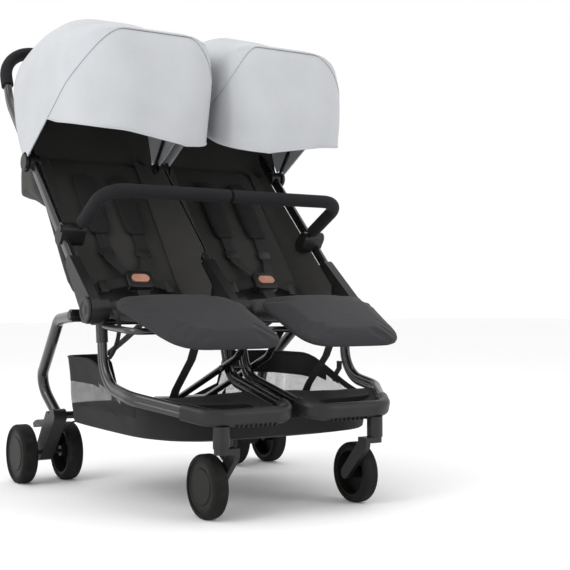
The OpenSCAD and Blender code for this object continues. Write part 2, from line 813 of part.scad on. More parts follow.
module wheel(p, x, w, r) color("#4a4744") turn_x(p, 0, 360) translate([0, x]) {
    rim_r = r - tyre_depth - fit;
    face = w / 2 - wheel_recess;
    ring_r = rim_r * wheel_ring_share;
    polygon([
        [0, face], [ring_r - wheel_recess, face], [ring_r, face - wheel_recess],
        [rim_r - wheel_rim_t, face - wheel_recess], [rim_r - wheel_rim_t + wheel_recess, face],
        [rim_r, face], [rim_r, -face], [rim_r - wheel_rim_t, -face],
        [rim_r - wheel_rim_t, face - wheel_recess - wheel_disc_t],
        [wheel_hub_r, face - wheel_recess - wheel_disc_t], [wheel_hub_r, -face],
        [axle_r + fit, -face], [axle_r + fit, face - wheel_disc_t], [0, face - wheel_disc_t]
    ]);
}

// The inner rear wheels face the middle of the pram
module rear_place(s, outer) side(s) if (outer) children(); else
    translate([rear_inner_track / 2, 0, 0]) mirror([1, 0, 0])
        translate([-rear_outer_track / 2, 0, 0]) children();

module front_tyre(s) side(s) tyre(front_axle, front_track / 2, front_tyre_w, front_r);
module front_wheel(s) side(s) wheel(front_axle, front_track / 2, front_tyre_w, front_r);
module rear_tyre(s, outer) rear_place(s, outer) tyre(rear_axle, rear_outer_track / 2, rear_tyre_w, rear_r);
module rear_wheel(s, outer) rear_place(s, outer)
    wheel(rear_axle, rear_outer_track / 2, rear_tyre_w, rear_r);

// Rear frame

module rear_leg(s) color("#1c1c1e") side(s) difference() {
    union() {
        sweep(leg_path, leg_bends, [0, 0, 1]) {
            round_tube(leg_r);
            round_tube(leg_r, swell);
        }
        pin(rear_pivot, leg_knuckle_r, body_outer_x + gap, push_x + leg_knuckle_w / 2);
    }
    pin(rear_pivot, pin_r + fit, body_outer_x - overrun, push_x + leg_knuckle_w);
}

module rear_crossbar() color("#1c1c1e")
    pin(crossbar, crossbar_r, housing_w / 2 - rear_mid_x + gap, rear_mid_x - housing_w / 2 - gap);

module rear_housings() color("#2a2a2c") {
    side(left) rear_housing();
    side(right) {
        difference() {
            union() {
                rear_housing();
                slab(rear_mid_x - pedal_w / 2 - ear_t - gap, rear_mid_x + pedal_w / 2 + ear_t + gap)
                    link(rear_axle, housing_axle_r - ear_t, pedal_pivot, pedal_r);
            }
            slab(rear_mid_x - pedal_w / 2 - gap, rear_mid_x + pedal_w / 2 + gap)
                disc(pedal_pivot, pedal_r + 2 * ear_t);
            pin(rear_axle, axle_r + fit, rear_mid_x - housing_w, rear_mid_x + housing_w);
        }
        pin(pedal_pivot, pedal_pin_r, rear_mid_x - pedal_w / 2 - ear_t, rear_mid_x + pedal_w / 2 + ear_t);
    }
}

module rear_housing() difference() {
    union() {
        slab(rear_mid_x - housing_w / 2, rear_mid_x + housing_w / 2) {
            link(leg_foot, housing_top_r, rear_axle, housing_axle_r);
            link(crossbar, crossbar_r + ear_t, rear_axle, housing_axle_r);
        }
        slab(rear_mid_x - guard_w / 2, rear_mid_x + guard_w / 2) guard_outline();
    }
    tube_cut(leg_path[3], unit(leg_path[2] - leg_path[3]), [1, 0, 0], 4 * housing_top_r)
        circle(leg_r + fit);
    pin(rear_axle, axle_r + fit, rear_mid_x - housing_w, rear_mid_x + housing_w);
}

// A mudguard between the twin wheels
module guard_outline() difference() {
    intersection() {
        disc(rear_axle, guard_r);
        translate(rear_axle) rotate(guard_start) polygon([
            [0, 0], [2 * guard_r, 0], [2 * guard_r, 2 * guard_r],
            [2 * guard_r * cos(guard_sweep), 2 * guard_r * sin(guard_sweep)]
        ]);
    }
    disc(rear_axle, guard_r - guard_t);
}

module rear_axles() color("#8d9094") both_sides()
    pin(rear_axle, axle_r, 2 * rear_mid_x - axle_end_x(rear_outer_track / 2, rear_tyre_w),
        axle_end_x(rear_outer_track / 2, rear_tyre_w));

module brake_cable() color("#2a2a2c") {
    low = crossbar - [0, cable_drop];
    foot = (low + rear_axle) / 2;
    x = rear_mid_x - housing_w / 2 - cable_r;
    sweep([at_x(-x, foot), at_x(cable_in - x, low), at_x(x - cable_in, low), at_x(x, foot)],
          [0, cable_bend_r, cable_bend_r, 0], [0, 0, 1]) {
        round_tube(cable_r);
        round_tube(cable_r, swell);
    }
}

module brake_pedal() color("#3a3a3c") difference() {
    slab(rear_mid_x - pedal_w / 2, rear_mid_x + pedal_w / 2)
        link(pedal_pivot, pedal_r, pedal_tip, pedal_tip_r);
    pin(pedal_pivot, pedal_pin_r + fit, rear_mid_x - pedal_w, rear_mid_x + pedal_w);
}

// Upper frame

module push_section(grow = 0) oval(push_tube_w, push_tube_flat, grow);

module push_frame() color("#1c1c1e") {
    foot = along(knuckle_seat + gap);
    sweep([at_x(push_x, foot), at_x(push_x, knee), at_x(push_x, handle),
           at_x(-push_x, handle), at_x(-push_x, knee), at_x(-push_x, foot)],
          [0, knee_r, handle_corner_r, handle_corner_r, knee_r, 0], push_up) {
        push_section();
        push_section(swell);
    }
}

module centre_tube() color("#1c1c1e")
    sweep([at_x(0, along(knuckle_seat + gap)), at_x(0, knee),
           at_x(0, handle - neck_dir * (push_half_w + gap))],
          [0, knee_r, 0], push_up) {
        push_section();
        push_section(swell);
    }

module push_cut(x, from_s, len)
    tube_cut(at_x(x, along(from_s)), at_x(0, push_dir), push_up, len) push_section(fit);

module push_knuckles() color("#242426") for (x = [-push_x, 0, push_x]) difference() {
    slab(x - knuckle_half_w, x + knuckle_half_w) link(hinge, knuckle_r, along(knuckle_len), knuckle_neck_r);
    push_cut(x, knuckle_seat, knuckle_len);
    pin(hinge, pin_r + fit, x - 2 * knuckle_half_w, x + 2 * knuckle_half_w);
}

module handle_tee() color("#242426") difference() {
    slab(-tee_half_w, tee_half_w) link(handle, tee_r, handle - neck_dir * tee_len, tee_neck_r);
    tube_cut(at_x(-2 * tee_half_w, handle), [1, 0, 0], at_x(0, [-neck_dir[1], neck_dir[0]]), 4 * tee_half_w)
        push_section(fit);
    tube_cut(at_x(0, handle - neck_dir * push_half_w), at_x(0, -neck_dir), push_up, 2 * tee_len)
        push_section(fit);
}

module grip_section(grow) difference() {
    push_section(grip_wall + grow);
    push_section(2 * swell - grow);
}

module handle_grips() color("#29292b") both_sides()
    sweep([at_x(push_x, mix(knee, handle, grip_start_share)), at_x(push_x, handle),
           at_x(tee_half_w + gap, handle)],
          [0, handle_corner_r, 0], at_x(0, [-neck_dir[1], neck_dir[0]])) {
        grip_section(0);
        grip_section(swell / 2);
    }

// Hoods

module hood_clamps() color("#3a3a3d") {
    both_sides() {
        difference() {
            slab(2 * push_x - clamp_x, clamp_x) disc(hood_pivot, clamp_r);
            push_cut(push_x, hood_pivot_s - 2 * clamp_r, 4 * clamp_r);
        }
        pin(hood_pivot, hood_pin_r, clamp_x, rear_outer_x);
        pin(hood_pivot, cap_r, rear_outer_x - hood_t, rear_outer_x + cap_t);
        pin(hood_pivot, hood_pin_r, centre_clamp_x, bow_inner_x + bow_t);
    }
    difference() {
        slab(-centre_clamp_x, centre_clamp_x) disc(hood_pivot, clamp_r);
        push_cut(0, hood_pivot_s - 2 * clamp_r, 4 * clamp_r);
    }
}

// The section of a hood, drawn as [radius, x]: straight sides and a top with round corners
module arch(r, x0, x1, corner, low) {
    translate([low, x0]) square([r - corner - low, x1 - x0]);
    translate([low, x0 + corner]) square([r - low, x1 - x0 - 2 * corner]);
    for (x = [x0 + corner, x1 - corner]) disc([r - corner, x], corner);
}

module arch_shell(r, x0, x1, corner, low, t, side_t) difference() {
    arch(r, x0, x1, corner, low);
    arch(r - t, x0 + side_t, x1 - side_t, corner - max(t, side_t), low - overrun);
}

module hood_rear(s) color("#d3d4d8") side(s) turn_x(hood_pivot, hood_rear_angle, hood_bow_angle)
    arch_shell(hood_r, rear_inner_x, rear_outer_x, hood_corner_r, hood_tip_r, hood_t, hood_t);

module hood_front(s) color("#d3d4d8") side(s) difference() {
    turn_x(hood_pivot, hood_bow_angle - hood_lap, hood_brim_angle)
        arch_shell(front_hood_r, front_inner_x, front_outer_x, hood_corner_r - layer, hood_tip_r,
                   hood_t, hood_t);
    slab(front_inner_x - overrun, front_outer_x + overrun) polygon([
        hem_rear, hem_front, hem_front - [0, hood_r], hood_pivot + [hood_r, -hood_r],
        hood_pivot + [hood_r, 0], [hood_pivot[0], hem_rear[1]]
    ]);
}

module hood_bow(s) color("#3a3a3d") side(s) difference() {
    union() {
        translate([0, hood_pivot[0], hood_pivot[1]]) rotate([90, 0, 90]) rotate([0, 0, hood_bow_angle])
            translate([0, bow_w / 2, 0]) rotate([90, 0, 0]) linear_extrude(bow_w)
                arch_shell(bow_r, bow_inner_x, bow_outer_x, hood_corner_r - 2 * layer,
                           bow_hub_r * bow_root_share, bow_depth, bow_t);
        pin(hood_pivot, bow_hub_r, bow_outer_x - bow_t + swell, bow_outer_x - swell);
        pin(hood_pivot, bow_hub_r, bow_inner_x + swell, bow_inner_x + bow_t - swell);
    }
    pin(hood_pivot, hood_pin_r + fit, bow_inner_x - overrun, bow_outer_x + overrun);
}

// Seat wings, backs and harness

module seat_wings() color("#3a3838") both_sides() {
    wing(wing_outer_x - wing_t, back_x + wing_foot_x);
    wing(wing_inner_x, back_x - wing_foot_x - wing_t);
}

// A sheet that slopes from the push tube to the front of the back
module wing(rim_x, foot_x) {
    drop = push_normal * wing_drop;
    lift = back_up * (back_t / 2 + back_crown + wing_edge);
    rim = [for (share = wing_shares) at_x(rim_x, along(share * push_tube_len) - drop)];
    foot = [for (share = wing_back_shares) at_x(foot_x, back_foot + back_dir * back_len * share + lift)];
    wing_half([rim[0], rim[1], foot[1]]);
    wing_half([rim[0], foot[1], foot[0]]);
}

// A three-cornered piece of a wing
module wing_half(corners) hull() for (p = corners) translate(p) cube([wing_t, wing_edge, wing_edge]);

// Places a piece in the plane of a seat back: x across, y up the back, z forwards
module on_back(s) side(s)
    translate([back_x, back_foot[0], back_foot[1]]) rotate([back_angle, 0, 0]) children();

module seat_back(s) {
    color("#2f2d2d") on_back(s) translate([0, back_len / 2, 0])
        padded(back_w, back_w, back_len, back_t, back_crown, 0, back_power);
    pouch(s);
}

// A cloth pouch behind the top of a back, drawn as [up the back, behind it]
module pouch(s) color("#2f2d2d") on_back(s) rotate([90, 0, 90])
    translate([0, 0, pouch_inset - (back_outer_x - back_inner_x) / 2])
        linear_extrude(back_outer_x - back_inner_x - 2 * pouch_inset) {
            near = -back_t / 2 - gap;
            low = [pouch_shares[0] * back_len, near];
            top = [pouch_shares[1] * back_len - pouch_corner_r, near];
            rear = [for (k = [0, 1]) [pouch_rear_shares[k] * back_len, near - pouch_depths[k]]];
            difference() {
                union() {
                    link(low, pouch_corner_r, rear[0], pouch_corner_r);
                    link(rear[0], pouch_corner_r, rear[1], pouch_corner_r);
                    link(rear[1], pouch_corner_r, top, pouch_corner_r);
                    polygon([low, rear[0], rear[1], top]);
                }
                translate([0, near]) square([2 * back_len, pouch_corner_r + back_t]);
            }
        }

module harness(s) color("#1d1b1b") on_back(s) difference() {
    union() {
        both_sides() {
            translate([shoulder_x - strap_w / 2, shoulder_shares[0] * back_len, strap_lift])
                cube([strap_w, (shoulder_shares[2] - shoulder_shares[0]) * back_len, strap_t]);
            translate([shoulder_x - shoulder_w / 2, shoulder_shares[1] * back_len, strap_lift])
                cube([shoulder_w, (shoulder_shares[2] - shoulder_shares[1]) * back_len, 3 * strap_t]);
            strap_between([shoulder_x, shoulder_shares[0] * back_len, strap_lift + strap_t / 2],
                          [buckle_w / 4, buckle_at[1] + buckle_len / 3, buckle_at[2]],
                          [strap_w / 2, strap_t, strap_t]);
            strap_between([buckle_w / 3, buckle_at[1], buckle_at[2]],
                          [waist_x, waist_at[0], waist_at[1]],
                          [strap_t, strap_w / 2, strap_t]);
        }
        translate([0, 0, buckle_at[2] - buckle_t / 2]) linear_extrude(buckle_t) buckle_outline();
    }
    translate([buckle_at[0], buckle_at[1], buckle_at[2] + buckle_t / 2 - button_depth - button_travel])
        linear_extrude(buckle_t) rotate(90) oval(2 * button_r, button_flat, gap);
}

module buckle_outline() {
    w = buckle_w - 2 * buckle_corner_r;
    l = buckle_len - 2 * buckle_corner_r;
    translate([buckle_at[0], buckle_at[1]]) {
        square([buckle_w, l], center = true);
        square([w, buckle_len], center = true);
        for (x = [-w / 2, w / 2], y = [-l / 2, l / 2]) disc([x, y], buckle_corner_r);
    }
}

module buckle_button(s) color("#b0765c") on_back(s)
    translate([buckle_at[0], buckle_at[1], buckle_at[2] + buckle_t / 2 - button_depth + gap])
        linear_extrude(button_depth + button_proud) rotate(90) oval(2 * button_r, button_flat);

// Bumper bar

bar_ends = [
    at_x(bar_x, bar_seat - bar_dir * bar_plug), at_x(bar_x, bar_front),
    at_x(-bar_x, bar_front), at_x(-bar_x, bar_seat - bar_dir * bar_plug)
];

module bar_tube() color("#1c1c1e")
    sweep(bar_ends, [0, bar_corner_r, bar_corner_r, 0], [0, 0, 1]) {
        round_tube(bar_r);
        round_tube(bar_r, swell);
    }

module foam_section(grow) difference() {
    circle(bar_foam_d / 2 + grow);
    circle(bar_r + 2 * swell - grow);
}

module bar_foam() color("#29292b") {
    start = bar_seat + bar_dir * bar_foam_start;
    sweep([at_x(bar_x, start), bar_ends[1], bar_ends[2], at_x(-bar_x, start)],
          [0, bar_corner_r, bar_corner_r, 0], [0, 0, 1]) {
        foam_section(0);
        foam_section(swell / 2);
    }
}

module bar_clamps() color("#242426") both_sides() difference() {
    slab(bar_x - bar_block_r, clamp_x) link(bar_seat, bar_block_r, along(bar_clamp_s), clamp_r);
    push_cut(push_x, bar_clamp_s - 2 * clamp_r, 4 * clamp_r);
    tube_cut(bar_ends[0] - at_x(0, bar_dir) * gap, at_x(0, bar_dir), [0, 0, 1], 4 * bar_block_r)
        circle(bar_r + fit);
    pin(bar_seat, bar_button_r + fit, clamp_x - bar_button_len, clamp_x + overrun);
}

module bar_button(s) color("#8f9196") side(s)
    pin(bar_seat, bar_button_r, clamp_x - bar_button_len + button_travel + gap, clamp_x + button_proud);

front_loop(left);  // front_loop_left
front_loop(right);  // front_loop_right
caster_shoe(left);  // caster_shoe_left
caster_shoe(right);  // caster_shoe_right
hinge_bodies();
centre_hinge();
frame_rivets();
braces();
seat_rails();
seat_cushion(left);  // seat_cushion_left
seat_cushion(right);  // seat_cushion_right
calf_pad(left);  // calf_pad_left
calf_pad(right);  // calf_pad_right
basket();
straps();
caster_fork(left);  // caster_fork_left
caster_fork(right);  // caster_fork_right
front_tyre(left);  // front_tyre_left
front_tyre(right);  // front_tyre_right
front_wheel(left);  // front_wheel_left
front_wheel(right);  // front_wheel_right
rear_leg(left);  // rear_leg_left
rear_leg(right);  // rear_leg_right
rear_crossbar();
rear_housings();
rear_axles();
brake_cable();
brake_pedal();
rear_tyre(left, true);  // rear_tyre_outer_left
rear_tyre(left, false);  // rear_tyre_inner_left
rear_tyre(right, false);  // rear_tyre_inner_right
rear_tyre(right, true);  // rear_tyre_outer_right
rear_wheel(left, true);  // rear_wheel_outer_left
rear_wheel(left, false);  // rear_wheel_inner_left
rear_wheel(right, false);  // rear_wheel_inner_right
rear_wheel(right, true);  // rear_wheel_outer_right
push_frame();
centre_tube();
handle_tee();
handle_grips();
push_knuckles();
hood_clamps();
hood_rear(left);  // hood_rear_left
hood_rear(right);  // hood_rear_right
seat_wings();
bar_clamps();
hood_front(left);  // hood_front_left
hood_front(right);  // hood_front_right
hood_bow(left);  // hood_bow_left
hood_bow(right);  // hood_bow_right
bar_tube();
bar_foam();
bar_button(left);  // bar_button_left
bar_button(right);  // bar_button_right
seat_back(left);  // seat_back_left
seat_back(right);  // seat_back_right
harness(left);  // harness_left
harness(right);  // harness_right
buckle_button(left);  // buckle_button_left
buckle_button(right);  // buckle_button_right
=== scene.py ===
"""Looks of a side-by-side twin pushchair: finishes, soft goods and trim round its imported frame."""
import json
from math import asin, cos, pi, radians, sin, sqrt

import bpy
from mathutils import Matrix, Vector, noise


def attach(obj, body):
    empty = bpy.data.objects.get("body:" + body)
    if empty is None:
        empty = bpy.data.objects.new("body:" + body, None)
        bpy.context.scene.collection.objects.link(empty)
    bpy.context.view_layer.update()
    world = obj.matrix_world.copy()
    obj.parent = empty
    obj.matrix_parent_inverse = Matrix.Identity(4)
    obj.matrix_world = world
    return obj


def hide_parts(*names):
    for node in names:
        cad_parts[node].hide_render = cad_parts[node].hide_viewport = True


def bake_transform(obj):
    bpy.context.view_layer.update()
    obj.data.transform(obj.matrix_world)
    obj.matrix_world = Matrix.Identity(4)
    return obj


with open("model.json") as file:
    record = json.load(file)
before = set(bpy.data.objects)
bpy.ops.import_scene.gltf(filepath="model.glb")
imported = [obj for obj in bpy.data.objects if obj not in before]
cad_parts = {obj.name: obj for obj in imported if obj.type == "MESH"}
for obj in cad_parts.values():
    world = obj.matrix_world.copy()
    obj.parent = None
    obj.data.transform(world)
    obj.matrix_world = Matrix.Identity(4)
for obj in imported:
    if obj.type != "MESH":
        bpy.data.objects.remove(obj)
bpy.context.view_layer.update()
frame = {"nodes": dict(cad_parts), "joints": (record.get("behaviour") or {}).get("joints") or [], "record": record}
nodes = frame["nodes"]
joint_at = {j["name"]: Vector(j["pos_m"]) for j in frame["joints"] if j.get("pos_m")}
SIDES = {"right": 1, "left": -1}
ACROSS, REARWARD, UPWARD = Vector((1, 0, 0)), Vector((0, 1, 0)), Vector((0, 0, 1))

# Sizes are in metres: x to the right, y back, z up. A ripple is its scale and its depth.
# Frame lines
hinge = joint_at["fold"]
push_angle = radians(44)
push_dir = Vector((0, cos(push_angle), sin(push_angle)))
push_up = Vector((0, -sin(push_angle), cos(push_angle)))
push_x, push_tube_w, clamp_wall = 0.340, 0.018, 0.004
cloth_t = 0.0018

# Handle: the knee's place along the push tube, and y and z of the bar
knee_s, handle, handle_corner_r = 0.753, (0.452, 1.095), 0.085
grip_start_share, grip_half_w, grip_half_d, grip_end_r = 0.3, 0.015, 0.019, 0.004
tee_half_w, tee_gap = 0.024, 0.0005

# Bumper bar: its seat along and above the push tube, and y and z of its front
bar_seat, bar_front = (0.235, 0.026), (-0.153, 0.683)
bar_x, bar_middle_x, bar_corner_r = 0.310, 0.0004, 0.050
bar_foam_r, bar_foam_start, bar_end_r = 0.0155, 0.024, 0.003

# Hinge covers: radius and place across, from the frame outwards
cover_cut = (0.18, 0.06)
cover_profile = (
    (0, 0.3521), (0.0272, 0.3521), (0.0285, 0.3534), (0.0285, 0.3560), (0.0278, 0.3572), (0.0262, 0.3578),
    (0.0225, 0.3578), (0.0214, 0.3570), (0.0110, 0.3566), (0.0102, 0.3573), (0.0090, 0.3577), (0, 0.3578))

# Hoods: angles turn round the pivot, from the rear over the top to the front
hood_pivot = joint_at["hood_turn_right"]
hood_x = (0.0129, 0.3628)
hood_r, ridge_rise, ridge_power = 0.355, 0.075, 1.35
rise_start, ridge, fall_end = radians(118), radians(141), radians(178)
rear_corner_r, seam_corner_r, brim_corner_r = 0.170, {"outer": 0.115, "inner": 0.080}, 0.130
corner_angles = (radians(80), radians(175))
rear_angles, rear_bend = (radians(55), radians(70)), (0.05, 0.27)
seam_side, seam_power, lap = radians(151), 1.2, radians(3)
hem_rear, hem_front = Vector((-0.110, 0.095)), Vector((-0.370, 0.029))
brim_gap, brim_step, brim_inset = 0.002, radians(0.05), 0.0004
brim_lift, brim_droop = 0.008, 0.017
hood_cuts = {"hood_rear": (0.95, 0.50), "hood_front": (0.80, 0.22)}
# The last of these is the reach from the pivot beyond which the inside of a hood is painted shade.
hood_cloth_t, layer, tip_r, painted_shade_r = 0.0022, 0.0033, 0.024, 0.26
rear_bulge, least_bulge, rear_ripple = 0.0016, -0.0002, (16, 0.0014)
front_dip, front_ripple = 0.0025, (14, 0.0022)
binding_r, seam_r = 0.0020, 0.0009
fold_line, fold_reach = radians(48), (0.329, -0.020)
settle_rounds = 3

# Cloth behind the hoods: its seat on the back, and where its lower corners lie on the push tube
hood_back_cut = (0.36, 0.32)
hood_back_inset, hood_back_turn, hood_back_half_w = 0.003, radians(1.5), 0.150
hood_back_lap, hood_back_lift = 0.012, -0.006
hood_back_corner, hood_back_side = (0.495, -0.020), (0.030, 0.004)
hood_back_sag, hood_back_ripple = Vector((0, 0.022, -0.010)), (15, 0.008)

# Padding: how far a form may swell, and half the height of a held seam
stuffing_voxel, stuffing_pressure, stuffing_frames = 0.005, 4, 20
seam_half, piping_r = 0.003, 0.0013
cushion_swell, calf_swell, back_swell, pouch_swell = 0.006, 0.005, 0.008, 0.005

# Seats
back_foot = joint_at["recline_right"]
back_angle = radians(52)
back_dir = Vector((0, cos(back_angle), sin(back_angle)))
back_up = Vector((0, -sin(back_angle), cos(back_angle)))
back_len, back_t, back_crown = 0.470, 0.026, 0.009
back_edge_half_w, back_edge_up, channel_lift = 0.14, (0.02, 0.45), 0.01
panel_half_w, head_seam = 0.110, 0.345
calf_rear = Vector((0.166, -0.209, 0.450))
calf_slope = radians(22.5)
calf_dir = Vector((0, -cos(calf_slope), -sin(calf_slope)))
calf_up = Vector((0, -sin(calf_slope), cos(calf_slope)))
calf_stretch = (1.120, 1.11)
calf_seam_drop, calf_seam_half = 0.006, 0.004
cushion_x, cushion_half_w, cushion_top_z, cushion_seam_z = 0.168, 0.131, 0.437, 0.4203

# Seat sides: along the push tube, up the back, and where the inner ones climb over the middle tube
wing_s, wing_up, wing_over_s = (0.085, 0.528), (0.020, 0.462), (0.165, 0.195)
wing_w, wing_gap, wing_foot_gap, wing_foot_lift = 0.12, 0.0008, 0.006, 0.007
wing_bend_shares = {"outer": 0.42, "inner": 0.30}
wing_over_x, wing_rim_lift, wing_bend_lift = 0.0030, (-0.004, 0.0158), (-0.022, -0.010)
wing_round_share, wing_sag, wing_ripple = 0.6, 0.005, (18, 0.005)
wing_middle = (0.05, 0.6)
gusset_cut, gusset_y, gusset_lap = (0.10, 0.05), (-0.125, -0.045), 0.004
gusset_bow, gusset_ripple, gusset_middle_share = 0.006, (30, 0.004), 0.4

# Harness, on the back's plane: across, up and off it. A route begins with a share of shoulder_x.
buckle, buckle_half_w, buckle_half_h, buckle_half_t = (0, 0.032, 0.050), 0.033, 0.025, 0.010
buckle_edge, well_half_w, well_half_h, well_depth, well_top = 0.0035, 0.0226, 0.0114, 0.0105, 0.03
shoulder_x, pad_up, pad_half_w, pad_t, pad_cut = 0.048, (0.190, 0.385), 0.029, 0.015, (0.14, 0.19)
harness_lift = back_t / 2 + back_crown + 0.002
slider_edge = 0.0015
web_w, web_t, web_step = 0.025, 0.0018, 0.006
shoulder_route = ((1, 0.215, harness_lift + 0.007), (1, 0.160, harness_lift + 0.006),
                  (0.95, 0.110, harness_lift + 0.009), (0.60, 0.070, buckle[2] - 0.006),
                  (0.45, 0.050, buckle[2]))
waist_route = ((0.50, 0.032, buckle[2]), (1.2, 0.030, 0.041), (1.8, 0.028, 0.032), (2.3, 0.024, 0.024))

# Basket
basket_half_w, basket_y, basket_half_len = 0.292, -0.115, 0.279
basket_floor_z, basket_rim_z, basket_front_z = 0.158, 0.310, 0.230
basket_dip_z, basket_notch_z = 0.194, 0.174
basket_dip, basket_notch, basket_rise_shares = (0.040, 0.100), (0.120, 0.170), (0.2, 0.7)
basket_power, basket_rear_power = 4, 9
basket_sag, basket_belly, basket_foot, basket_t = 0.026, 0.002, 0.0117, 0.0014
basket_ripple, floor_ripple = (14, 0.008), (11, 0.006)
basket_cut, basket_flat_len, basket_wall_share, basket_rim_r = (2.0, 0.45), 1.2, 0.62, 0.003
window_x, window_y, window_z, window_hem = 0.25, (-0.26, 0.145), (0.200, 0.254), 0.010
rear_window_x, rear_window_y = (0.14, 0.27), 0.1

# Front panels of the basket, between the runs of the front loops
panel_y, panel_w, panel_gap, panel_drop = (-0.402, -0.285), 0.26, 0.010, 0.004
panel_sag, panel_ripple, panel_binding_r = 0.012, (16, 0.004), 0.0026
loop_mid, loop_front = Vector((0.312, -0.292, 0.243)), Vector((0.214, -0.4587, 0.210))
loop_inner = Vector((0.022, -0.190, 0.270))

# Straps
crotch_w, crotch_t, crotch_step, crotch_start = 0.030, 0.0022, 0.004, (-0.074, 0.447)
crotch_route = ((-0.081, 0.4462), (-0.068, 0.4475), (-0.054, 0.4565), (-0.043, 0.4665))
strap_w, strap_t, strap_x, side_strap_y = 0.020, 0.0018, 0.172, -0.153
side_route = ((0.2932, 0.246), (0.2950, 0.264), (0.3055, 0.278), (0.3062, 0.296))
rear_route = ((0.150, 0.309), (0.146, 0.314), (0.05, 0.3505), (-0.050, 0.392), (-0.0587, 0.3985))
front_route = ((-0.3205, 0.372), (-0.318, 0.362), (-0.292, 0.318), (-0.220, 0.250), (-0.196, 0.215),
               (-0.190, 0.152))
hinge_strap_w, hinge_strap_t = 0.009, 0.0022
hinge_strap_route = ((-0.300, -0.176, 0.424), (-0.301, -0.203, 0.410), (-0.302, -0.213, 0.389),
                     (-0.303, -0.2085, 0.362), (-0.305, -0.190, 0.334), (-0.3065, -0.170, 0.318))

# Camera and lights: each light has its place, its width and height, and its power
camera_at, camera_aim = Vector((-1.261, -2.388, 0.440)), Vector((0.5336, 0.8457, 0.0152))
camera_lens, camera_sensor_w = 70.4, 36
lights_aim = Vector((0, -0.05, 0.5))
lights = {
    "key": ((-3.2, -0.7, 2.7), (2.0, 2.0), 40),
    "fill": ((2.4, -2.6, 1.8), (2.4, 2.4), 6),
    "top": ((0.2, 0.6, 3.4), (2.6, 2.6), 20),
    "strip_left": ((-2.9, -1.2, 1.1), (0.18, 2.4), 14),
    "strip_right": ((1.6, -3.0, 1.2), (0.18, 2.4), 10),
}
floor_size, floor_tones = 40, (0.94, 0.96)


# Shader maths

class Field:
    """A value over a surface. Arithmetic on it adds Math nodes to its finish."""

    def __init__(self, finish, socket):
        self.finish, self.socket = finish, socket

    def maths(self, operation, a, b=0.0):
        return self.finish.node("ShaderNodeMath", {"operation": operation}, {0: a, 1: b})

    def __add__(self, other):
        return self.maths("ADD", self, other)

    def __sub__(self, other):
        return self.maths("SUBTRACT", self, other)

    def __rsub__(self, other):
        return self.maths("SUBTRACT", other, self)

    def __mul__(self, other):
        return self.maths("MULTIPLY", self, other)

    __radd__, __rmul__ = __add__, __mul__

    def size(self):
        return self.maths("ABSOLUTE", self)

    def wave(self, length):
        """A sine wave over the value, with its length in metres."""
        return self.maths("SINE", self * (2 * pi / length))

    def ramp(self, low, high):
        """0 below low, 1 above high, smooth between."""
        return self.finish.node("ShaderNodeMapRange", {"interpolation_type": "SMOOTHSTEP"},
                                {"Value": self, "From Min": low, "From Max": high})


class Finish:
    """A procedural material. Keyword values are set on the shader's own sockets."""

    def __init__(self, name, **constants):
        self.material = bpy.data.materials.new(name)
        self.material.use_nodes = True
        self.tree = self.material.node_tree
        self.shader = self.tree.nodes["Principled BSDF"]
        self.paint(**constants)

    def node(self, kind, settings, values, output=0):
        made = self.tree.nodes.new(kind)
        for setting, value in settings.items():
            setattr(made, setting, value)
        for socket, value in values.items():
            self.feed(made.inputs[socket], value)
        return Field(self, made.outputs[output])

    def feed(self, socket, value):
        if isinstance(value, Field):
            self.tree.links.new(value.socket, socket)
        else:
            socket.default_value = value

    def paint(self, **fields):
        for socket, value in fields.items():
            self.feed(self.shader.inputs[socket.replace("_", " ")], value)
        return self

    def place(self):
        return self.node("ShaderNodeTexCoord", {}, {}, "Object")

    def cut(self):
        """The cloth's own directions in metres, from its UV map."""
        return self.node("ShaderNodeTexCoord", {}, {}, "UV")

    def axes(self, vector):
        parts = self.node("ShaderNodeSeparateXYZ", {}, {"Vector": vector}).socket.node
        return [Field(self, parts.outputs[axis]) for axis in "XYZ"]

    def speckle(self, scale, detail):
        return self.node("ShaderNodeTexNoise", {"noise_dimensions": "3D"},
                         {"Vector": self.place(), "Scale": scale, "Detail": detail})

    def shades(self, share, colour, low, high):
        """A colour that varies between two shades of itself."""
        first, second = ((*(c * factor for c in colour), 1) for factor in (low, high))
        return self.node("ShaderNodeMix", {"data_type": "RGBA"}, {0: share, 6: first, 7: second}, 2)

    def relief(self, height, strength, distance=0.001):
        return self.node("ShaderNodeBump", {}, {"Height": height, "Strength": strength, "Distance": distance})


def enamel(name, colour, rough):
    """Sprayed tube paint: gloss with a faint orange peel and dusty patches."""
    f = Finish(name, Coat_Roughness=0.12, Specular_IOR_Level=0.55)
    peel = f.speckle(900, 1)
    patch = f.speckle(9, 3)
    return f.paint(Base_Color=f.shades(patch, colour, 0.85, 1.25),
                   Roughness=rough + 0.10 * patch, Coat_Weight=0.25 + 0.15 * patch,
                   Normal=f.relief(peel, 0.04))


def moulding(name, colour, rough, grain=1600, depth=0.18, shine=0.32):
    """Moulded plastic with spark grain and slight rubbing."""
    f = Finish(name, Specular_IOR_Level=shine)
    grains = f.speckle(grain, 2)
    rub = f.speckle(22, 4)
    return f.paint(Base_Color=f.shades(rub.ramp(0.35, 0.75), colour, 0.88, 1.2),
                   Roughness=rough + 0.14 * (rub - 0.5) + 0.08 * (grains - 0.5),
                   Normal=f.relief(grains, depth, 0.0006))


def rubber(name, colour):
    """Tyre tread: matt, with dust and fine moulding lines across the width."""
    f = Finish(name, Specular_IOR_Level=0.12)
    lines = f.axes(f.place())[0].wave(0.004)
    dust = f.speckle(60, 5)
    return f.paint(Base_Color=f.shades(dust.ramp(0.4, 0.8), colour, 1, 1.9),
                   Roughness=0.58 + 0.2 * dust,
                   Normal=f.relief(lines * 0.3 + f.speckle(1400, 2), 0.16, 0.0006))


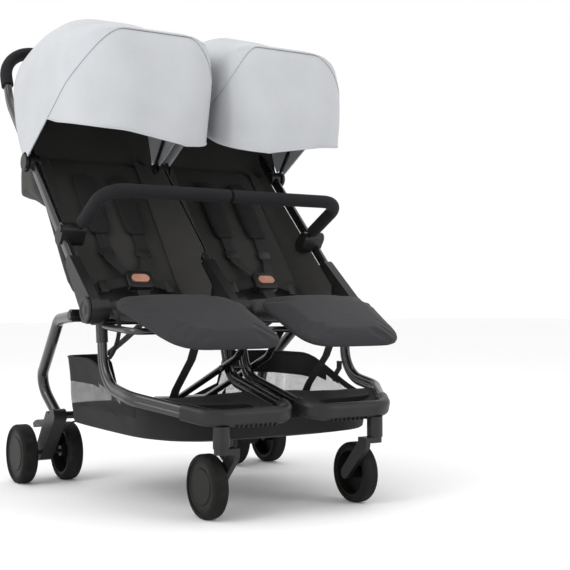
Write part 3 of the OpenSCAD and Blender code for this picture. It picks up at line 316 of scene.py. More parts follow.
def foam(name, colour):
    """Closed-cell foam sleeve: dull, with pores."""
    f = Finish(name, Specular_IOR_Level=0.14, Sheen_Weight=0.03, Sheen_Roughness=0.6)
    pores = f.node("ShaderNodeTexVoronoi", {"feature": "F1"}, {"Vector": f.place(), "Scale": 700.0})
    rub = f.speckle(14, 4)
    return f.paint(Base_Color=f.shades(rub, colour, 0.85, 1.2),
                   Roughness=0.78 + 0.15 * pores,
                   Normal=f.relief(pores + 0.6 * f.speckle(300, 3), 0.22, 0.0008))


def cloth(name, colour, thread, rough, sheen, crease=0.35, on_uv=False):
    """Woven cloth: warp and weft at thread metres, slubs, soft creases and colour drift."""
    f = Finish(name, Sheen_Weight=sheen, Sheen_Roughness=0.45, Specular_IOR_Level=0.2)
    if on_uv:
        u, v = f.axes(f.cut())[:2]
        weave = u.wave(thread) * v.wave(thread)
    else:
        x, y, z = f.axes(f.place())
        weave = (x + 0.3 * y).wave(thread) * (z * 0.9 + y).wave(thread)
    slub = f.speckle(520, 3)
    drift = f.speckle(11, 3)
    folds = f.speckle(34, 4)
    tone = 0.45 * slub + 0.4 * drift + 0.1 * weave
    return f.paint(Base_Color=f.shades(tone, colour, 0.80, 1.22),
                   Roughness=rough + 0.12 * (slub - 0.5),
                   Normal=f.relief(weave * 0.25 + slub * 0.5 + folds * crease * 6, 0.28, 0.0009))


def net(name, colour):
    """See-through basket mesh: a diagonal net of fine threads."""
    f = Finish(name, Sheen_Weight=0.1, Specular_IOR_Level=0.3)
    u, v = f.axes(f.cut())[:2]
    pitch = 0.0034
    threads = (u + v).wave(pitch).size() * (u - v).wave(pitch).size()
    open_share = threads.ramp(0.10, 0.22)
    return f.paint(Base_Color=f.shades(f.speckle(200, 2), colour, 1, 1.6),
                   Roughness=0.75 + 0.1 * f.speckle(90, 2), Alpha=1 - open_share * 0.92)


def webbing(name, colour):
    """Woven strap: ribs along its length and a herringbone across."""
    f = Finish(name, Sheen_Weight=0.15, Sheen_Roughness=0.4, Specular_IOR_Level=0.35)
    u, v = f.axes(f.cut())[:2]
    ribs = u.wave(0.0022)
    picks = (v + u.size() * 0.6).wave(0.0017)
    tone = 0.5 + 0.22 * ribs + 0.18 * picks
    return f.paint(Base_Color=f.shades(tone, colour, 0.7, 1.5),
                   Roughness=0.62 + 0.1 * f.speckle(300, 2), Normal=f.relief(tone, 0.5, 0.0006))


def metal(name, colour, rough):
    """Bare steel, finely brushed."""
    f = Finish(name, Metallic=1.0)
    brush = f.speckle(240, 3)
    return f.paint(Base_Color=f.shades(brush, colour, 0.85, 1.1),
                   Roughness=rough + 0.15 * brush, Normal=f.relief(brush, 0.05))


grey = (0.475, 0.487, 0.507)
finish = {
    "frame_black": enamel("frame_enamel", (0.008, 0.008, 0.009), 0.20),
    "plastic_black": moulding("black_moulding", (0.012, 0.012, 0.013), 0.40),
    "tyre": rubber("tyre_rubber", (0.0085, 0.0083, 0.0080)),
    "wheel_cap": moulding("wheel_moulding", (0.0105, 0.0099, 0.0092), 0.50, 1200, 0.1, 0.18),
    "hood_grey": cloth("hood_cloth", grey, 0.0011, 0.82, 0.12, 0.25, True),
    "hood_trim": cloth("hood_binding", grey, 0.0009, 0.85, 0.1),
    # Painted shade: a near-black cloth over the inside of the hoods' tops, where the hoods' own shadow falls.
    "hood_painted_shade": cloth("hood_painted_shade", (0.022, 0.021, 0.021), 0.0011, 0.8, 0.1, 0.3, True),
    "seat_black": cloth("seat_cloth", (0.043, 0.0418, 0.0398), 0.0012, 0.78, 0.06, 0.5),
    "pad_charcoal": cloth("pad_cloth", (0.0235, 0.0232, 0.026), 0.0010, 0.68, 0.05, 0.5),
    "basket_cloth": cloth("basket_cloth", (0.013, 0.013, 0.0135), 0.0011, 0.72, 0.05, 0.5, True),
    "basket_net": net("basket_net", (0.02, 0.02, 0.021)),
    "webbing": webbing("strap_webbing", (0.012, 0.012, 0.0125)),
    "grip_foam": foam("grip_foam", (0.012, 0.0112, 0.013)),
    "buckle_copper": moulding("copper_button", (0.46, 0.23, 0.155), 0.38, 900, 0.06),
    "steel": metal("rivet_steel", (0.09, 0.09, 0.095), 0.30),
    "slider_grey": moulding("slider_moulding", (0.022, 0.022, 0.023), 0.35),
    "shoulder_cloth": cloth("shoulder_cloth", (0.017, 0.0165, 0.0165), 0.0010, 0.74, 0.05, 0.4),
}


# Places and shares

def mix(a, b, share):
    return a + (b - a) * share


def share_of(value, start, end):
    """0 at start and 1 at end, straight between."""
    return max(0.0, min(1.0, (value - start) / (end - start)))


def ease(share):
    share = max(0.0, min(1.0, share))
    return share * share * (3 - 2 * share)


def climb(value, start, end):
    """0 at start and 1 at end, smooth between."""
    return ease((value - start) / (end - start))


def rolled(value, power):
    return abs(value) ** power * (1 if value >= 0 else -1)


def ripple(p, scale, depth):
    return noise.noise(p * scale) * depth


def on_push(x, s, lift=0.0):
    return Vector((x, hinge.y, hinge.z)) + push_dir * s + push_up * lift


def on_back(x, up, lift=0.0):
    return Vector((back_foot.x + x, back_foot.y, back_foot.z)) + back_dir * up + back_up * lift


def on_side(p, side):
    """A point of the right side, or its mirror image on the left."""
    return SIDES[side] * p[0], p[1], p[2]


# Modelling by hand

def deselect():
    bpy.ops.object.select_all(action="DESELECT")


def select_only(piece):
    deselect()
    piece.select_set(True)
    bpy.context.view_layer.objects.active = piece


def named(name):
    piece = bpy.context.object
    piece.name = piece.data.name = name
    return piece


def linked(name, data):
    """A new object in the scene, on its mesh, curve, light or camera."""
    made = bpy.data.objects.new(name, data)
    bpy.context.scene.collection.objects.link(made)
    return made


def in_edit(piece, *steps):
    """Runs edit-mode steps on the whole piece."""
    select_only(piece)
    bpy.ops.object.mode_set(mode="EDIT")
    bpy.ops.mesh.select_all(action="SELECT")
    for step in steps:
        step()
    bpy.ops.object.mode_set(mode="OBJECT")


def merge():
    bpy.ops.mesh.remove_doubles(threshold=1e-5)


def outward():
    bpy.ops.mesh.normals_make_consistent(inside=False)


def modify(piece, kind, **settings):
    """Adds a modifier, sets it and applies it."""
    select_only(piece)
    added = piece.modifiers.new(kind.title(), kind)
    for setting, value in settings.items():
        setattr(added, setting, value)
    bpy.ops.object.modifier_apply(modifier=added.name)


def smooth(piece, angle):
    select_only(piece)
    bpy.ops.object.shade_smooth_by_angle(angle=radians(angle))


def area_of(piece):
    return sum(face.area for face in piece.data.polygons)


def cloth_grid(name, across, along, cut, place):
    """A grid of cloth. Each corner goes to place(u, v), and the UV map is the cut in metres."""
    deselect()
    bpy.ops.mesh.primitive_grid_add(x_subdivisions=across, y_subdivisions=along, size=1)
    piece = named(name)
    for corner in piece.data.vertices:
        corner.co = place(corner.co.x + 0.5, corner.co.y + 0.5)
    for spot in piece.data.uv_layers.active.data:
        spot.uv = (spot.uv[0] * cut[0], spot.uv[1] * cut[1])
    return piece


def closed_grid(name, around, along, cut, place):
    """A grid rolled up: u runs round, and the ends close on themselves."""
    piece = cloth_grid(name, around, along, cut, place)
    in_edit(piece, merge, outward)
    return piece


# The inner faces can take another slot; on the hoods that slot is the painted shade.
def wall(piece, thickness, offset, inner_material_offset=0):
    modify(piece, "SOLIDIFY", thickness=thickness, offset=offset, use_even_offset=True,
           material_offset=inner_material_offset)


def thin_sheets(name, across, along, cut, place):
    """A thin cloth on the right and its twin on the left, and the area of one."""
    sheet = cloth_grid(name, across, along, cut, place)
    area = area_of(sheet)
    wall(sheet, cloth_t, 0.0)
    smooth(sheet, 50)
    return pair(sheet, name), area


def cord_mesh(name, points, r, closed=False):
    """A round cord through points, as a mesh."""
    curve = bpy.data.curves.new(name, "CURVE")
    curve.dimensions = "3D"
    curve.bevel_depth, curve.bevel_resolution, curve.use_fill_caps = r, 2, True
    line = curve.splines.new("POLY")
    line.points.add(len(points) - 1)
    for spot, p in zip(line.points, points):
        spot.co = (*p, 1)
    line.use_cyclic_u = closed
    piece = linked(name, curve)
    select_only(piece)
    bpy.ops.object.convert(target="MESH")
    in_edit(piece, outward)
    smooth(piece, 60)
    return piece


def run_along(points):
    """The length along a line of points, up to each of them."""
    run = [0.0]
    for a, b in zip(points, points[1:]):
        run.append(run[-1] + (b - a).length)
    return run


def ribbon(name, points, width_dir, width, thickness):
    """A flat strap along points, wide in one direction."""
    last = len(points) - 1

    def place(u, v):
        return points[min(last, round(v * last))] + width_dir.normalized() * (u - 0.5) * width

    strap = cloth_grid(name, 4, last, (width, run_along(points)[-1]), place)
    wall(strap, thickness, 0.0)
    smooth(strap, 40)
    return strap


def rounded_path(points, radii, steps=10):
    """A polyline with its inner corners rounded."""
    path = [points[0]]
    for before, corner, after, r in zip(points, points[1:], points[2:], radii):
        a, b = (before - corner).normalized(), (after - corner).normalized()
        turn = pi - a.angle(b)
        reach = r * sin(turn / 2) / cos(turn / 2)
        centre = corner + (a + b).normalized() * (r / cos(turn / 2))
        start = corner + a * reach - centre
        axis = start.cross(corner + b * reach - centre)
        path += [centre + Matrix.Rotation(turn * k / steps, 3, axis) @ start for k in range(steps + 1)]
    return path + [points[-1]]


def spread(path, step):
    """Points about step apart along a polyline."""
    out = [path[0]]
    for a, b in zip(path, path[1:]):
        count = max(1, round((b - a).length / step))
        out += [a.lerp(b, k / count) for k in range(1, count + 1)]
    return out


def smoothed(points, steps):
    """A smooth curve through points."""
    ends = [points[0] * 2 - points[1], *points, points[-1] * 2 - points[-2]]
    path = []
    for a, b, c, d in zip(ends, ends[1:], ends[2:], ends[3:]):
        for k in range(steps):
            t = k / steps
            path.append(0.5 * (2 * b + (c - a) * t + (2 * a - 5 * b + 4 * c - d) * t ** 2
                               + (3 * b - a - 3 * c + d) * t ** 3))
    return path + [points[-1]]


def sleeve(name, path, half_w, half_t, across, end_r):
    """A foam sleeve along a path: an oval section, long in the direction across, with rounded ends."""
    last = len(path) - 1
    run = run_along(path)

    def place(u, v):
        i = round(v * last)
        along = (path[min(last, i + 1)] - path[max(0, i - 1)]).normalized()
        side = (across - along * across.dot(along)).normalized()
        rise = along.cross(side)
        left = 1 - min(1.0, min(run[i], run[-1] - run[i]) / end_r)
        girth = 0.55 + 0.45 * sqrt(1 - left * left) if 0 < i < last else 0.0
        turn = 2 * pi * u
        return path[i] + (side * cos(turn) * half_w + rise * sin(turn) * half_t) * girth

    piece = closed_grid(name, 32, last, (2 * pi * half_w, run[-1]), place)
    smooth(piece, 60)
    return piece


def box_outline(half_w, half_h, power, at):
    """A rectangle with well rounded corners."""
    return lambda turn: (at[0] + rolled(cos(turn), 2 / power) * half_w,
                         at[1] + rolled(sin(turn), 2 / power) * half_h)


def moulded(name, outline, low, high, edge):
    """A moulded block: a flat outline raised from low to high, with its rims rounded."""
    corners = 64
    deselect()
    bpy.ops.mesh.primitive_circle_add(vertices=corners, radius=1, fill_type="NGON")
    block = named(name)
    for k, corner in enumerate(block.data.vertices):
        corner.co = (*outline(2 * pi * k / corners), low)
    rise = {"value": (0, 0, high - low)}
    in_edit(block, lambda: bpy.ops.mesh.extrude_region_move(TRANSFORM_OT_translate=rise),
            lambda: bpy.ops.mesh.select_all(action="SELECT"), outward)
    if edge:
        modify(block, "BEVEL", width=edge, segments=3, limit_method="ANGLE", angle_limit=radians(50))
    smooth(block, 40)
    return block


def twin(piece, name):
    """The mirror image on the left side, with its own mesh."""
    copy = linked(name, piece.data.copy())
    copy.data.name = name
    copy.data.transform(Matrix.Scale(-1, 4, ACROSS))
    copy.data.flip_normals()
    return copy


def pair(piece, name):
    piece.name = piece.data.name = name + "_right"
    return {"right": piece, "left": twin(piece, name + "_left")}


def dress(piece, slot):
    """Gives a piece the finish of a slot."""
    piece.data.materials.clear()
    piece.data.materials.append(finish[slot].material)


def wear(piece, slot, body):
    """Finishes a piece and puts it on its body."""
    dress(piece, slot)
    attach(piece, body)


def worn(piece, name, slot, body):
    """A piece and its twin, finished and on their body. A body in braces is each side's own."""
    both = pair(piece, name)
    for side, made in both.items():
        wear(made, slot, body.format(side))
    return both.items()


# Padded pieces

def copy_of(node, name):
    """A merged copy of a node's mesh as a new piece."""
    piece = linked(name, nodes[node].data.copy())
    in_edit(piece, merge)
    return piece


def stuffed(piece, sewn, swell):
    """Fills a closed form like a cushion. Points where sewn(p) holds stay down as seams."""
    select_only(piece)
    piece.data.remesh_voxel_size = stuffing_voxel
    bpy.ops.object.voxel_remesh()
    start = [corner.co.copy() for corner in piece.data.vertices]
    seam = piece.vertex_groups.new(name="seam")
    seam.add([i for i, p in enumerate(start) if sewn(p)], 1.0, "REPLACE")
    added = piece.modifiers.new("Stuffing", "CLOTH")
    fill = added.settings
    fill.use_pressure, fill.uniform_pressure_force = True, stuffing_pressure
    fill.effector_weights.gravity, fill.vertex_group_mass = 0, "seam"
    added.point_cache.frame_end = stuffing_frames
    for step in range(1, stuffing_frames + 1):
        bpy.context.scene.frame_set(step)
    bpy.ops.object.modifier_apply(modifier="Stuffing")
    bpy.context.scene.frame_set(1)
    for corner, p in zip(piece.data.vertices, start):
        move = corner.co - p
        if move.length > swell:
            corner.co = p + move.normalized() * swell
    piece.vertex_groups.clear()
    modify(piece, "SMOOTH", factor=0.5, iterations=4)
    modify(piece, "SUBSURF", levels=1, render_levels=1)
    smooth(piece, 60)
    return piece


def piping(piece, name, at, up):
    """A sewn edge: a cord where a plane cuts a padded piece."""
    edge = linked(name, piece.data.copy())
    in_edit(edge, lambda: bpy.ops.mesh.bisect(plane_co=at, plane_no=up, clear_inner=True, clear_outer=True))
    select_only(edge)
    bpy.ops.object.convert(target="CURVE")
    edge = bpy.context.object
    edge.data.bevel_depth, edge.data.bevel_resolution = piping_r, 1
    bpy.ops.object.convert(target="MESH")
    edge = named(name)
    edge.data.materials.clear()
    in_edit(edge, merge, outward)
    smooth(edge, 60)
    return edge


# Hoods

def crown(angle):
    """Reach of a hood's top at an angle round its pivot. It rises to a ridge over the seam."""
    if angle < ridge:
        return hood_r + ridge_rise * share_of(angle, rise_start, ridge) ** ridge_power
    return hood_r + ridge_rise * share_of(angle, fall_end, ridge)


def corner_at(angle, half):
    """Radius of the corner between a hood's top and its side."""
    rear = mix(rear_corner_r, seam_corner_r[half], climb(angle, corner_angles[0], ridge))
    return mix(rear, brim_corner_r, climb(angle, ridge, corner_angles[1]))


def arch_point(share, angle, low, inside):
    """A point of a hood's section, from its outer foot: reach from the pivot, x, turn round the corner."""
    half = "outer" if share <= 0.5 else "inner"
    r, corner = crown(angle) - inside, corner_at(angle, half) - inside
    shoulder = r - corner
    start = asin(min(1.0, (low - shoulder) / corner)) if low > shoulder else 0.0
    side_len = max(0.0, shoulder - low)
    bend_len = corner * (pi / 2 - start)
    half_w = (hood_x[1] - hood_x[0]) / 2 - inside
    d = min(share, 1 - share) * 2 * (side_len + bend_len + half_w - corner)
    if d < side_len:
        reach, inset, turn = low + d, 0.0, 0.0
    elif d < side_len + bend_len:
        turn = start + (d - side_len) / corner
        reach, inset = shoulder + corner * sin(turn), corner * (1 - cos(turn))
    else:
        reach, inset, turn = r, corner + d - side_len - bend_len, pi / 2
    return reach, (hood_x[1] - inside - inset if half == "outer" else hood_x[0] + inside + inset), turn


def hood_spot(reach, x, angle):
    return Vector((x, hood_pivot.y + reach * cos(angle), hood_pivot.z + reach * sin(angle)))


def rear_edge(reach):
    return mix(*rear_angles, climb(reach, *rear_bend))


def seam_at(turn):
    return mix(seam_side, ridge, ease((turn / (pi / 2)) ** seam_power))


hem_fall = (hem_front.y - hem_rear.y) / (hem_front.x - hem_rear.x)
hem_height = hem_rear.y - hem_fall * hem_rear.x


def hem_reach(angle):
    """Reach of the straight hem at an angle, or the tip's where the hem is below it."""
    return max(tip_r, hem_height / (sin(angle) - hem_fall * cos(angle)))


# The brim is where the hem meets the top
brim_angle = seam_side
while hem_reach(brim_angle) < crown(brim_angle) - layer - brim_gap:
    brim_angle += brim_step


def rear_cloth(u, v):
    angle = mix(rear_angles[1], ridge, v)
    for settle in range(settle_rounds):
        reach, x, turn = arch_point(u, angle, tip_r, 0.0)
        angle = mix(rear_edge(reach), seam_at(turn), v)
    slack = sin(pi * v) * climb(reach, tip_r, tip_r + 0.1)
    bulge = slack * (rear_bulge + ripple(hood_spot(reach, x, angle), *rear_ripple))
    return hood_spot(reach + max(least_bulge, bulge), x, angle)


def front_cloth(u, v):
    angle = mix(ridge - lap, brim_angle, v)
    inside = mix(layer, brim_inset, climb(v, 0, 0.18))
    for settle in range(settle_rounds):
        reach, x, turn = arch_point(u, angle, hem_reach(angle), inside)
        angle = mix(seam_at(turn) - lap, brim_angle, v)
    hem = hem_reach(angle)
    slack = climb(v, 0.12, 0.42) * climb(v, 1, 0.8) * climb(reach, hem, hem + 0.08)
    billow = slack * (ripple(hood_spot(reach, x, angle), *front_ripple) - front_dip)
    droop = climb(v, 0.45, 1) * mix(brim_lift, -brim_droop, u)
    return hood_spot(reach + billow, x, angle) + UPWARD * droop


def hood_edge(place, u_steps, v):
    return [place(k / u_steps, v) for k in range(u_steps + 1)]


def shade_hood_inside(panel):
    """The inside of the top keeps its painted shade, a near-black cloth; the side walls show the hood cloth on
    both faces.
    """
    for face in panel.data.polygons:
        if face.material_index == 1 and (face.center - hood_pivot).yz.length < painted_shade_r:
            face.material_index = 0


def hang_hood(piece, side, folds):
    """Puts a piece on its hood's body, so that it turns with the hood. For one that folds, two points on the fold
    line are worked out but not used, and the piece is only baked where it lies.
    """
    if folds:
        start, end = (hood_spot(reach, SIDES[side] * back_foot.x, fold_line) for reach in fold_reach)
        "hood_" + side
        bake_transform(piece)
    else:
        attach(piece, "hood_" + side)


def make_hoods():
    panels = {"hood_rear": cloth_grid("hood_rear_cloth", 96, 48, hood_cuts["hood_rear"], rear_cloth),
              "hood_front": cloth_grid("hood_front_cloth", 96, 32, hood_cuts["hood_front"], front_cloth)}
    for base, panel in panels.items():
        for slot in ("hood_grey", "hood_painted_shade"):
            panel.data.materials.append(finish[slot].material)
        in_edit(panel, outward)
        if max(panel.data.polygons, key=lambda f: f.center.z).normal.z < 0:
            panel.data.flip_normals()
        # The inner faces take the second slot, painted shade, which then stays only over the inside of the top.
        wall(panel, hood_cloth_t, -1.0, 1)
        shade_hood_inside(panel)
        smooth(panel, 50)
        for side, piece in pair(panel, base + "_cloth").items():
            hang_hood(piece, side, base == "hood_rear")
            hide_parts(base + "_" + side)
            "hood_bow_" + side
    trims = {
        "hood_seam": hood_edge(rear_cloth, 96, 1.0),
        "hood_rear_binding": hood_edge(rear_cloth, 96, 0.0),
        "hood_brim": ([front_cloth(0, k / 30) for k in range(4, 31)] + hood_edge(front_cloth, 60, 1.0)
                      + [front_cloth(1, k / 30) for k in range(30, 3, -1)]),
    }
    for base, points in trims.items():
        trim = cord_mesh(base, points, binding_r if base == "hood_brim" else seam_r)
        for side, piece in pair(trim, base).items():
            dress(piece, "hood_trim")
            hang_hood(piece, side, base == "hood_rear_binding")


def hood_back(u, v):
    """The dark cloth behind a hood, from the top of the seat's back up to the hood's rear edge."""
    x = mix(hood_x[1] - hood_back_inset, hood_x[0] + hood_back_inset, u)
    edge = min(x - hood_x[0], hood_x[1] - x)
    round_off = max(0.0, rear_corner_r - edge)
    reach = hood_r - hood_back_inset - rear_corner_r + sqrt(rear_corner_r ** 2 - round_off ** 2)
    top = hood_spot(reach, x, rear_edge(reach) + hood_back_turn)
    seat_x = max(-hood_back_half_w, min(hood_back_half_w, x - back_foot.x))
    low = on_back(seat_x, back_len - hood_back_lap, hood_back_lift)
    low = low.lerp(on_push(x, *hood_back_corner), climb(edge, *hood_back_side))
    p = low.lerp(top, v)
    slack = sin(pi * v) * (0.15 + 0.85 * sin(pi * u))
    return p + (hood_back_sag + REARWARD * ripple(p, *hood_back_ripple)) * slack


def make_hood_backs():
    top, low = hood_back(0.5, 1), hood_back(0.5, 0)
    panels, area = thin_sheets("hood_back_cloth", 64, 30, hood_back_cut, hood_back)
    for side, piece in panels.items():
        dress(piece, "seat_black")
        "back_" + side
        on_side(top, side)
        on_side(low, side)
        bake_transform(piece)
        "hood_rear_cloth_" + side


# Seats

def back_sewn(p):
    """Whether a point of a back lies on its edge seam or in a channel of its front."""
    d = p - on_back(0, 0)
    up, lift = d.dot(back_dir), d.dot(back_up)
    at_edge = abs(d.x) > back_edge_half_w or up < back_edge_up[0] or up > back_edge_up[1]
    side_channel = abs(abs(d.x) - panel_half_w) < seam_half
    head_channel = abs(up - head_seam) < seam_half and abs(d.x) < panel_half_w
    return (abs(lift) < seam_half and at_edge) or (lift > channel_lift and (side_channel or head_channel))


def make_seats():
    cushion = stuffed(copy_of("seat_cushion_right", "seat_cushion_cloth"),
                      lambda p: abs(p.z - cushion_seam_z) < seam_half, cushion_swell)
    for side, piece in worn(cushion, "seat_cushion_cloth", "seat_black", "chassis"):
        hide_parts("seat_cushion_" + side)

    calf = copy_of("calf_pad_right", "calf_pad_cloth")
    for corner in calf.data.vertices:
        away = corner.co - calf_rear
        wider = Vector((away.x * (calf_stretch[0] - 1), 0, 0))
        corner.co += calf_dir * away.dot(calf_dir) * (calf_stretch[1] - 1) + wider
    stuffed(calf, lambda p: abs((p - calf_rear).dot(calf_up) + calf_seam_drop) < calf_seam_half, calf_swell)
    calf_seam = piping(calf, "calf_pad_seam", calf_rear - calf_up * calf_seam_drop, calf_up)
    worn(calf_seam, "calf_pad_seam", "pad_charcoal", "chassis")
    for side, piece in worn(calf, "calf_pad_cloth", "pad_charcoal", "chassis"):
        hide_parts("calf_pad_" + side)

    both = copy_of("seat_back_right", "seat_back_cloth")
    in_edit(both, lambda: bpy.ops.mesh.separate(type="LOOSE"))
    back, pouch = sorted(bpy.context.selected_objects, key=lambda p: min(v.co.y for v in p.data.vertices))
    stuffed(back, back_sewn, back_swell)
    for side, piece in worn(back, "seat_back_cloth", "seat_black", "back_{}"):
        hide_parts("seat_back_" + side)
    stuffed(pouch, lambda p: False, pouch_swell)
    for side, piece in worn(pouch, "back_pouch_cloth", "seat_black", "back_{}"):
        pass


def wing_rims(which):
    """X of a seat side's edge under the push tube, and of its foot on the back."""
    tube_reach = push_tube_w / 2 + clamp_wall + wing_gap
    foot_reach = panel_half_w + wing_foot_gap
    if which == "outer":
        return push_x - tube_reach, back_foot.x + foot_reach
    return tube_reach, back_foot.x - foot_reach


def wing_place(which):
    """A seat's side: a strip along the push tube, then a slope down to the panel seam on the back."""
    rim, foot_x = wing_rims(which)
    bend_x = mix(rim, foot_x, wing_bend_shares[which])

    def place(u, v):
        s, up = mix(*wing_s, v), mix(*wing_up, v)
        over = climb(s, *wing_over_s) if which == "inner" else 0.0
        top = on_push(mix(rim, wing_over_x, over), s, mix(*wing_rim_lift, over))
        bend = on_push(bend_x, s, mix(*wing_bend_lift, over))
        foot = on_back(foot_x - back_foot.x, up, back_t / 2 + wing_foot_lift)
        p = top.lerp(bend, u * 2) if u < 0.5 else bend.lerp(foot, u * 2 - 1)
        p = p.lerp(top * (1 - u) ** 2 + bend * 2 * u * (1 - u) + foot * u * u, wing_round_share)
        return p - back_up * sin(pi * u) * sin(pi * v) * (wing_sag + ripple(p, *wing_ripple))
    return place


def gusset_place(which):
    """The cloth below a seat's side: from its lower edge down to the cushion."""
    upper = wing_place(which)
    sign = 1 if which == "outer" else -1

    def place(u, v):
        low = Vector((cushion_x + cushion_half_w * sign, mix(*gusset_y, u), cushion_top_z - gusset_lap))
        p = upper(u, 0).lerp(low, v)
        return p + ACROSS * sin(pi * v) * (ripple(p, *gusset_ripple) - sign * gusset_bow * sin(pi * u))
    return place


def make_wings():
    cut = (wing_w, wing_s[1] - wing_s[0])
    for which in ("outer", "inner"):
        base = "wing_" + which
        rim, foot_x = wing_rims(which)
        wings, area = thin_sheets(base, 16, 44, cut, wing_place(which))
        for side, piece in wings.items():
            dress(piece, "seat_black")
            "back_" + side
            on_side((rim, *wing_middle), side)
            on_side((foot_x, *wing_middle), side)
            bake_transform(piece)
            "seat_back_cloth_" + side
            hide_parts("seat_wings")
        place = gusset_place(which)
        low, top = place(gusset_middle_share, 1), place(gusset_middle_share, 0)
        gussets, area = thin_sheets(base + "_gusset", 16, 10, gusset_cut, place)
        for side, piece in gussets.items():
            dress(piece, "seat_black")
            on_side(low, side)
            on_side(top, side)
            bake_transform(piece)
            "seat_cushion_cloth_" + side


# Harness

def shoulder_pad(x):
    """A padded sleeve on a shoulder strap, quilted along its front."""
    def place(u, v):
        turn = 2 * pi * u
        end = (1 - abs(2 * v - 1) ** 9) ** (1 / 6) if 0 < v < 1 else 0.0
        side, rise = rolled(cos(turn), 0.55), rolled(sin(turn), 0.75)
        dome = 0.75 + 0.25 * (1 - side * side)
        lift = harness_lift + pad_t / 2 + rise * pad_t / 2 * (0.45 + 0.55 * end) * dome * (1 if end else 0)
        quilt = 0.0012 * max(0, rise) * abs(sin(4 * pi * v)) * end
        half_w = pad_half_w * (0.86 + 0.14 * sin(pi * v)) * end
        return on_back(x + side * half_w, mix(*pad_up, v), lift + quilt)
    return place


def to_back(piece):
    """Takes a piece drawn flat, x across and y up, into the plane of the right back."""
    origin = on_back(0, 0)
    piece.data.transform(Matrix(((1, 0, 0, origin.x), (0, back_dir.y, back_up.y, origin.y),
                                 (0, back_dir.z, back_up.z, origin.z), (0, 0, 0, 1))))
    return piece


def make_buckle():
    """The buckle's body, with a well for its button."""
    at, front = buckle[:2], buckle[2] + buckle_half_t
    body = moulded("buckle_body", box_outline(buckle_half_w, buckle_half_h, 5, at),
                   buckle[2] - buckle_half_t, front, buckle_edge)
    well = moulded("button_well", box_outline(well_half_w, well_half_h, 3.4, at),
                   front - well_depth, buckle[2] + well_top, 0)
    modify(body, "BOOLEAN", object=well, operation="DIFFERENCE")
    bpy.data.objects.remove(well)
    smooth(body, 40)
    worn(to_back(body), "buckle_body", "plastic_black", "back_{}")


def make_harness():
    make_buckle()
    for name, x in (("outer", shoulder_x), ("inner", -shoulder_x)):
        pad = closed_grid("shoulder_pad_" + name, 32, 40, pad_cut, shoulder_pad(x))
        smooth(pad, 60)
        outlines = {"shoulder_slider_" + name: (box_outline(0.0185, 0.0120, 5, (x * 0.98, 0.135)),
                                                harness_lift + 0.003, harness_lift + 0.009),
                    "waist_slider_" + name: (box_outline(0.0110, 0.0175, 5, (x * 1.72, 0.029)), 0.030, 0.037)}
        sliders = {base: to_back(moulded(base, *block, slider_edge)) for base, block in outlines.items()}
        webs = {}
        for base, route, width_dir in (("shoulder_web_", shoulder_route, ACROSS),
                                       ("waist_web_", waist_route, back_dir)):
            points = [on_back(x * share, up, lift) for share, up, lift in route]
            webs[base + name] = ribbon("web", spread(points, web_step), width_dir, web_w, web_t)
        for base, strap in webs.items():
            for side, piece in worn(strap, base, "webbing", "back_{}"):
                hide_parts("harness_" + side)
        for side, piece in worn(pad, "shoulder_pad_" + name, "shoulder_cloth", "back_{}"):
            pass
        for base, block in sliders.items():
            for side, piece in worn(block, base, "slider_grey", "back_{}"):
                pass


def make_straps():
    crotch = [Vector((cushion_x, y, z)) for y, z in crotch_route]
    strap = ribbon("crotch_strap", spread(crotch, crotch_step), ACROSS, crotch_w, crotch_t)
    for side, piece in pair(strap, "crotch_strap").items():
        dress(piece, "webbing")
        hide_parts("straps")
        on_side((cushion_x, *crotch_start), side)
        on_side((cushion_x, *crotch_route[-1]), side)
        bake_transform(piece)
    routes = {
        "basket_side_strap": ([Vector((x, side_strap_y, z)) for x, z in side_route], REARWARD),
        "basket_rear_strap": ([Vector((strap_x, y, z)) for y, z in rear_route], ACROSS),
        "basket_front_strap": ([Vector((strap_x, y, z)) for y, z in front_route], ACROSS),
    }
    for base, (points, width_dir) in routes.items():
        strap = ribbon(base, spread(points, web_step), width_dir, strap_w, strap_t)
        worn(strap, base, "webbing", "chassis")


def make_hinge_strap():
    """A strap on the left from the seat's front corner down to the loop."""
    points = smoothed([Vector(p) for p in hinge_strap_route], 6)
    wear(ribbon("hinge_strap", points, ACROSS, hinge_strap_w, hinge_strap_t), "webbing", "chassis")


# Basket

def basket_rim(x, y):
    """Height of the rim: low at the front, notched at the rear for the braces."""
    share = (y - basket_y) / (2 * basket_half_len) + 0.5
    z = mix(basket_front_z, basket_rim_z, climb(share, *basket_rise_shares))
    if share > 0.5:
        return mix(basket_notch_z, z, climb(abs(x), *basket_notch))
    return mix(basket_dip_z, z, climb(abs(x), *basket_dip))


def basket_edge(turn, inset):
    power = 2 / mix(basket_power, basket_rear_power, ease(sin(turn) * 2))
    return (rolled(cos(turn), power) * (basket_half_w - inset),
            basket_y + rolled(sin(turn), power) * (basket_half_len - inset))


def basket_place(u, v):
    """Round the basket with u. V goes down its wall, then in along the floor to the middle."""
    turn = 2 * pi * u
    if v <= basket_wall_share:
        down = v / basket_wall_share
        x, y = basket_edge(turn, basket_foot * down)
        p = Vector((x, y, mix(basket_rim(*basket_edge(turn, 0)), basket_floor_z, down)))
        out = Vector((x / basket_half_w, (y - basket_y) / basket_half_len, 0)).normalized()
        return p + out * sin(pi * down) * (ripple(p, *basket_ripple) - basket_belly)
    left = 1 - (v - basket_wall_share) / (1 - basket_wall_share)
    x, y = basket_edge(turn, basket_foot)
    p = Vector((x * left, mix(basket_y, y, left), basket_floor_z - basket_sag * (1 - left * left)))
    return p + UPWARD * ripple(p, *floor_ripple) * (1 - left)


def is_window(p):
    """Whether a point of the basket's wall is in one of its mesh windows."""
    at_side = abs(p.x) > window_x and window_y[0] < p.y < window_y[1]
    at_rear = rear_window_x[0] < abs(p.x) < rear_window_x[1] and p.y > rear_window_y
    top = min(window_z[1], basket_rim(p.x, p.y) - window_hem)
    return (at_side or at_rear) and window_z[0] < p.z < top


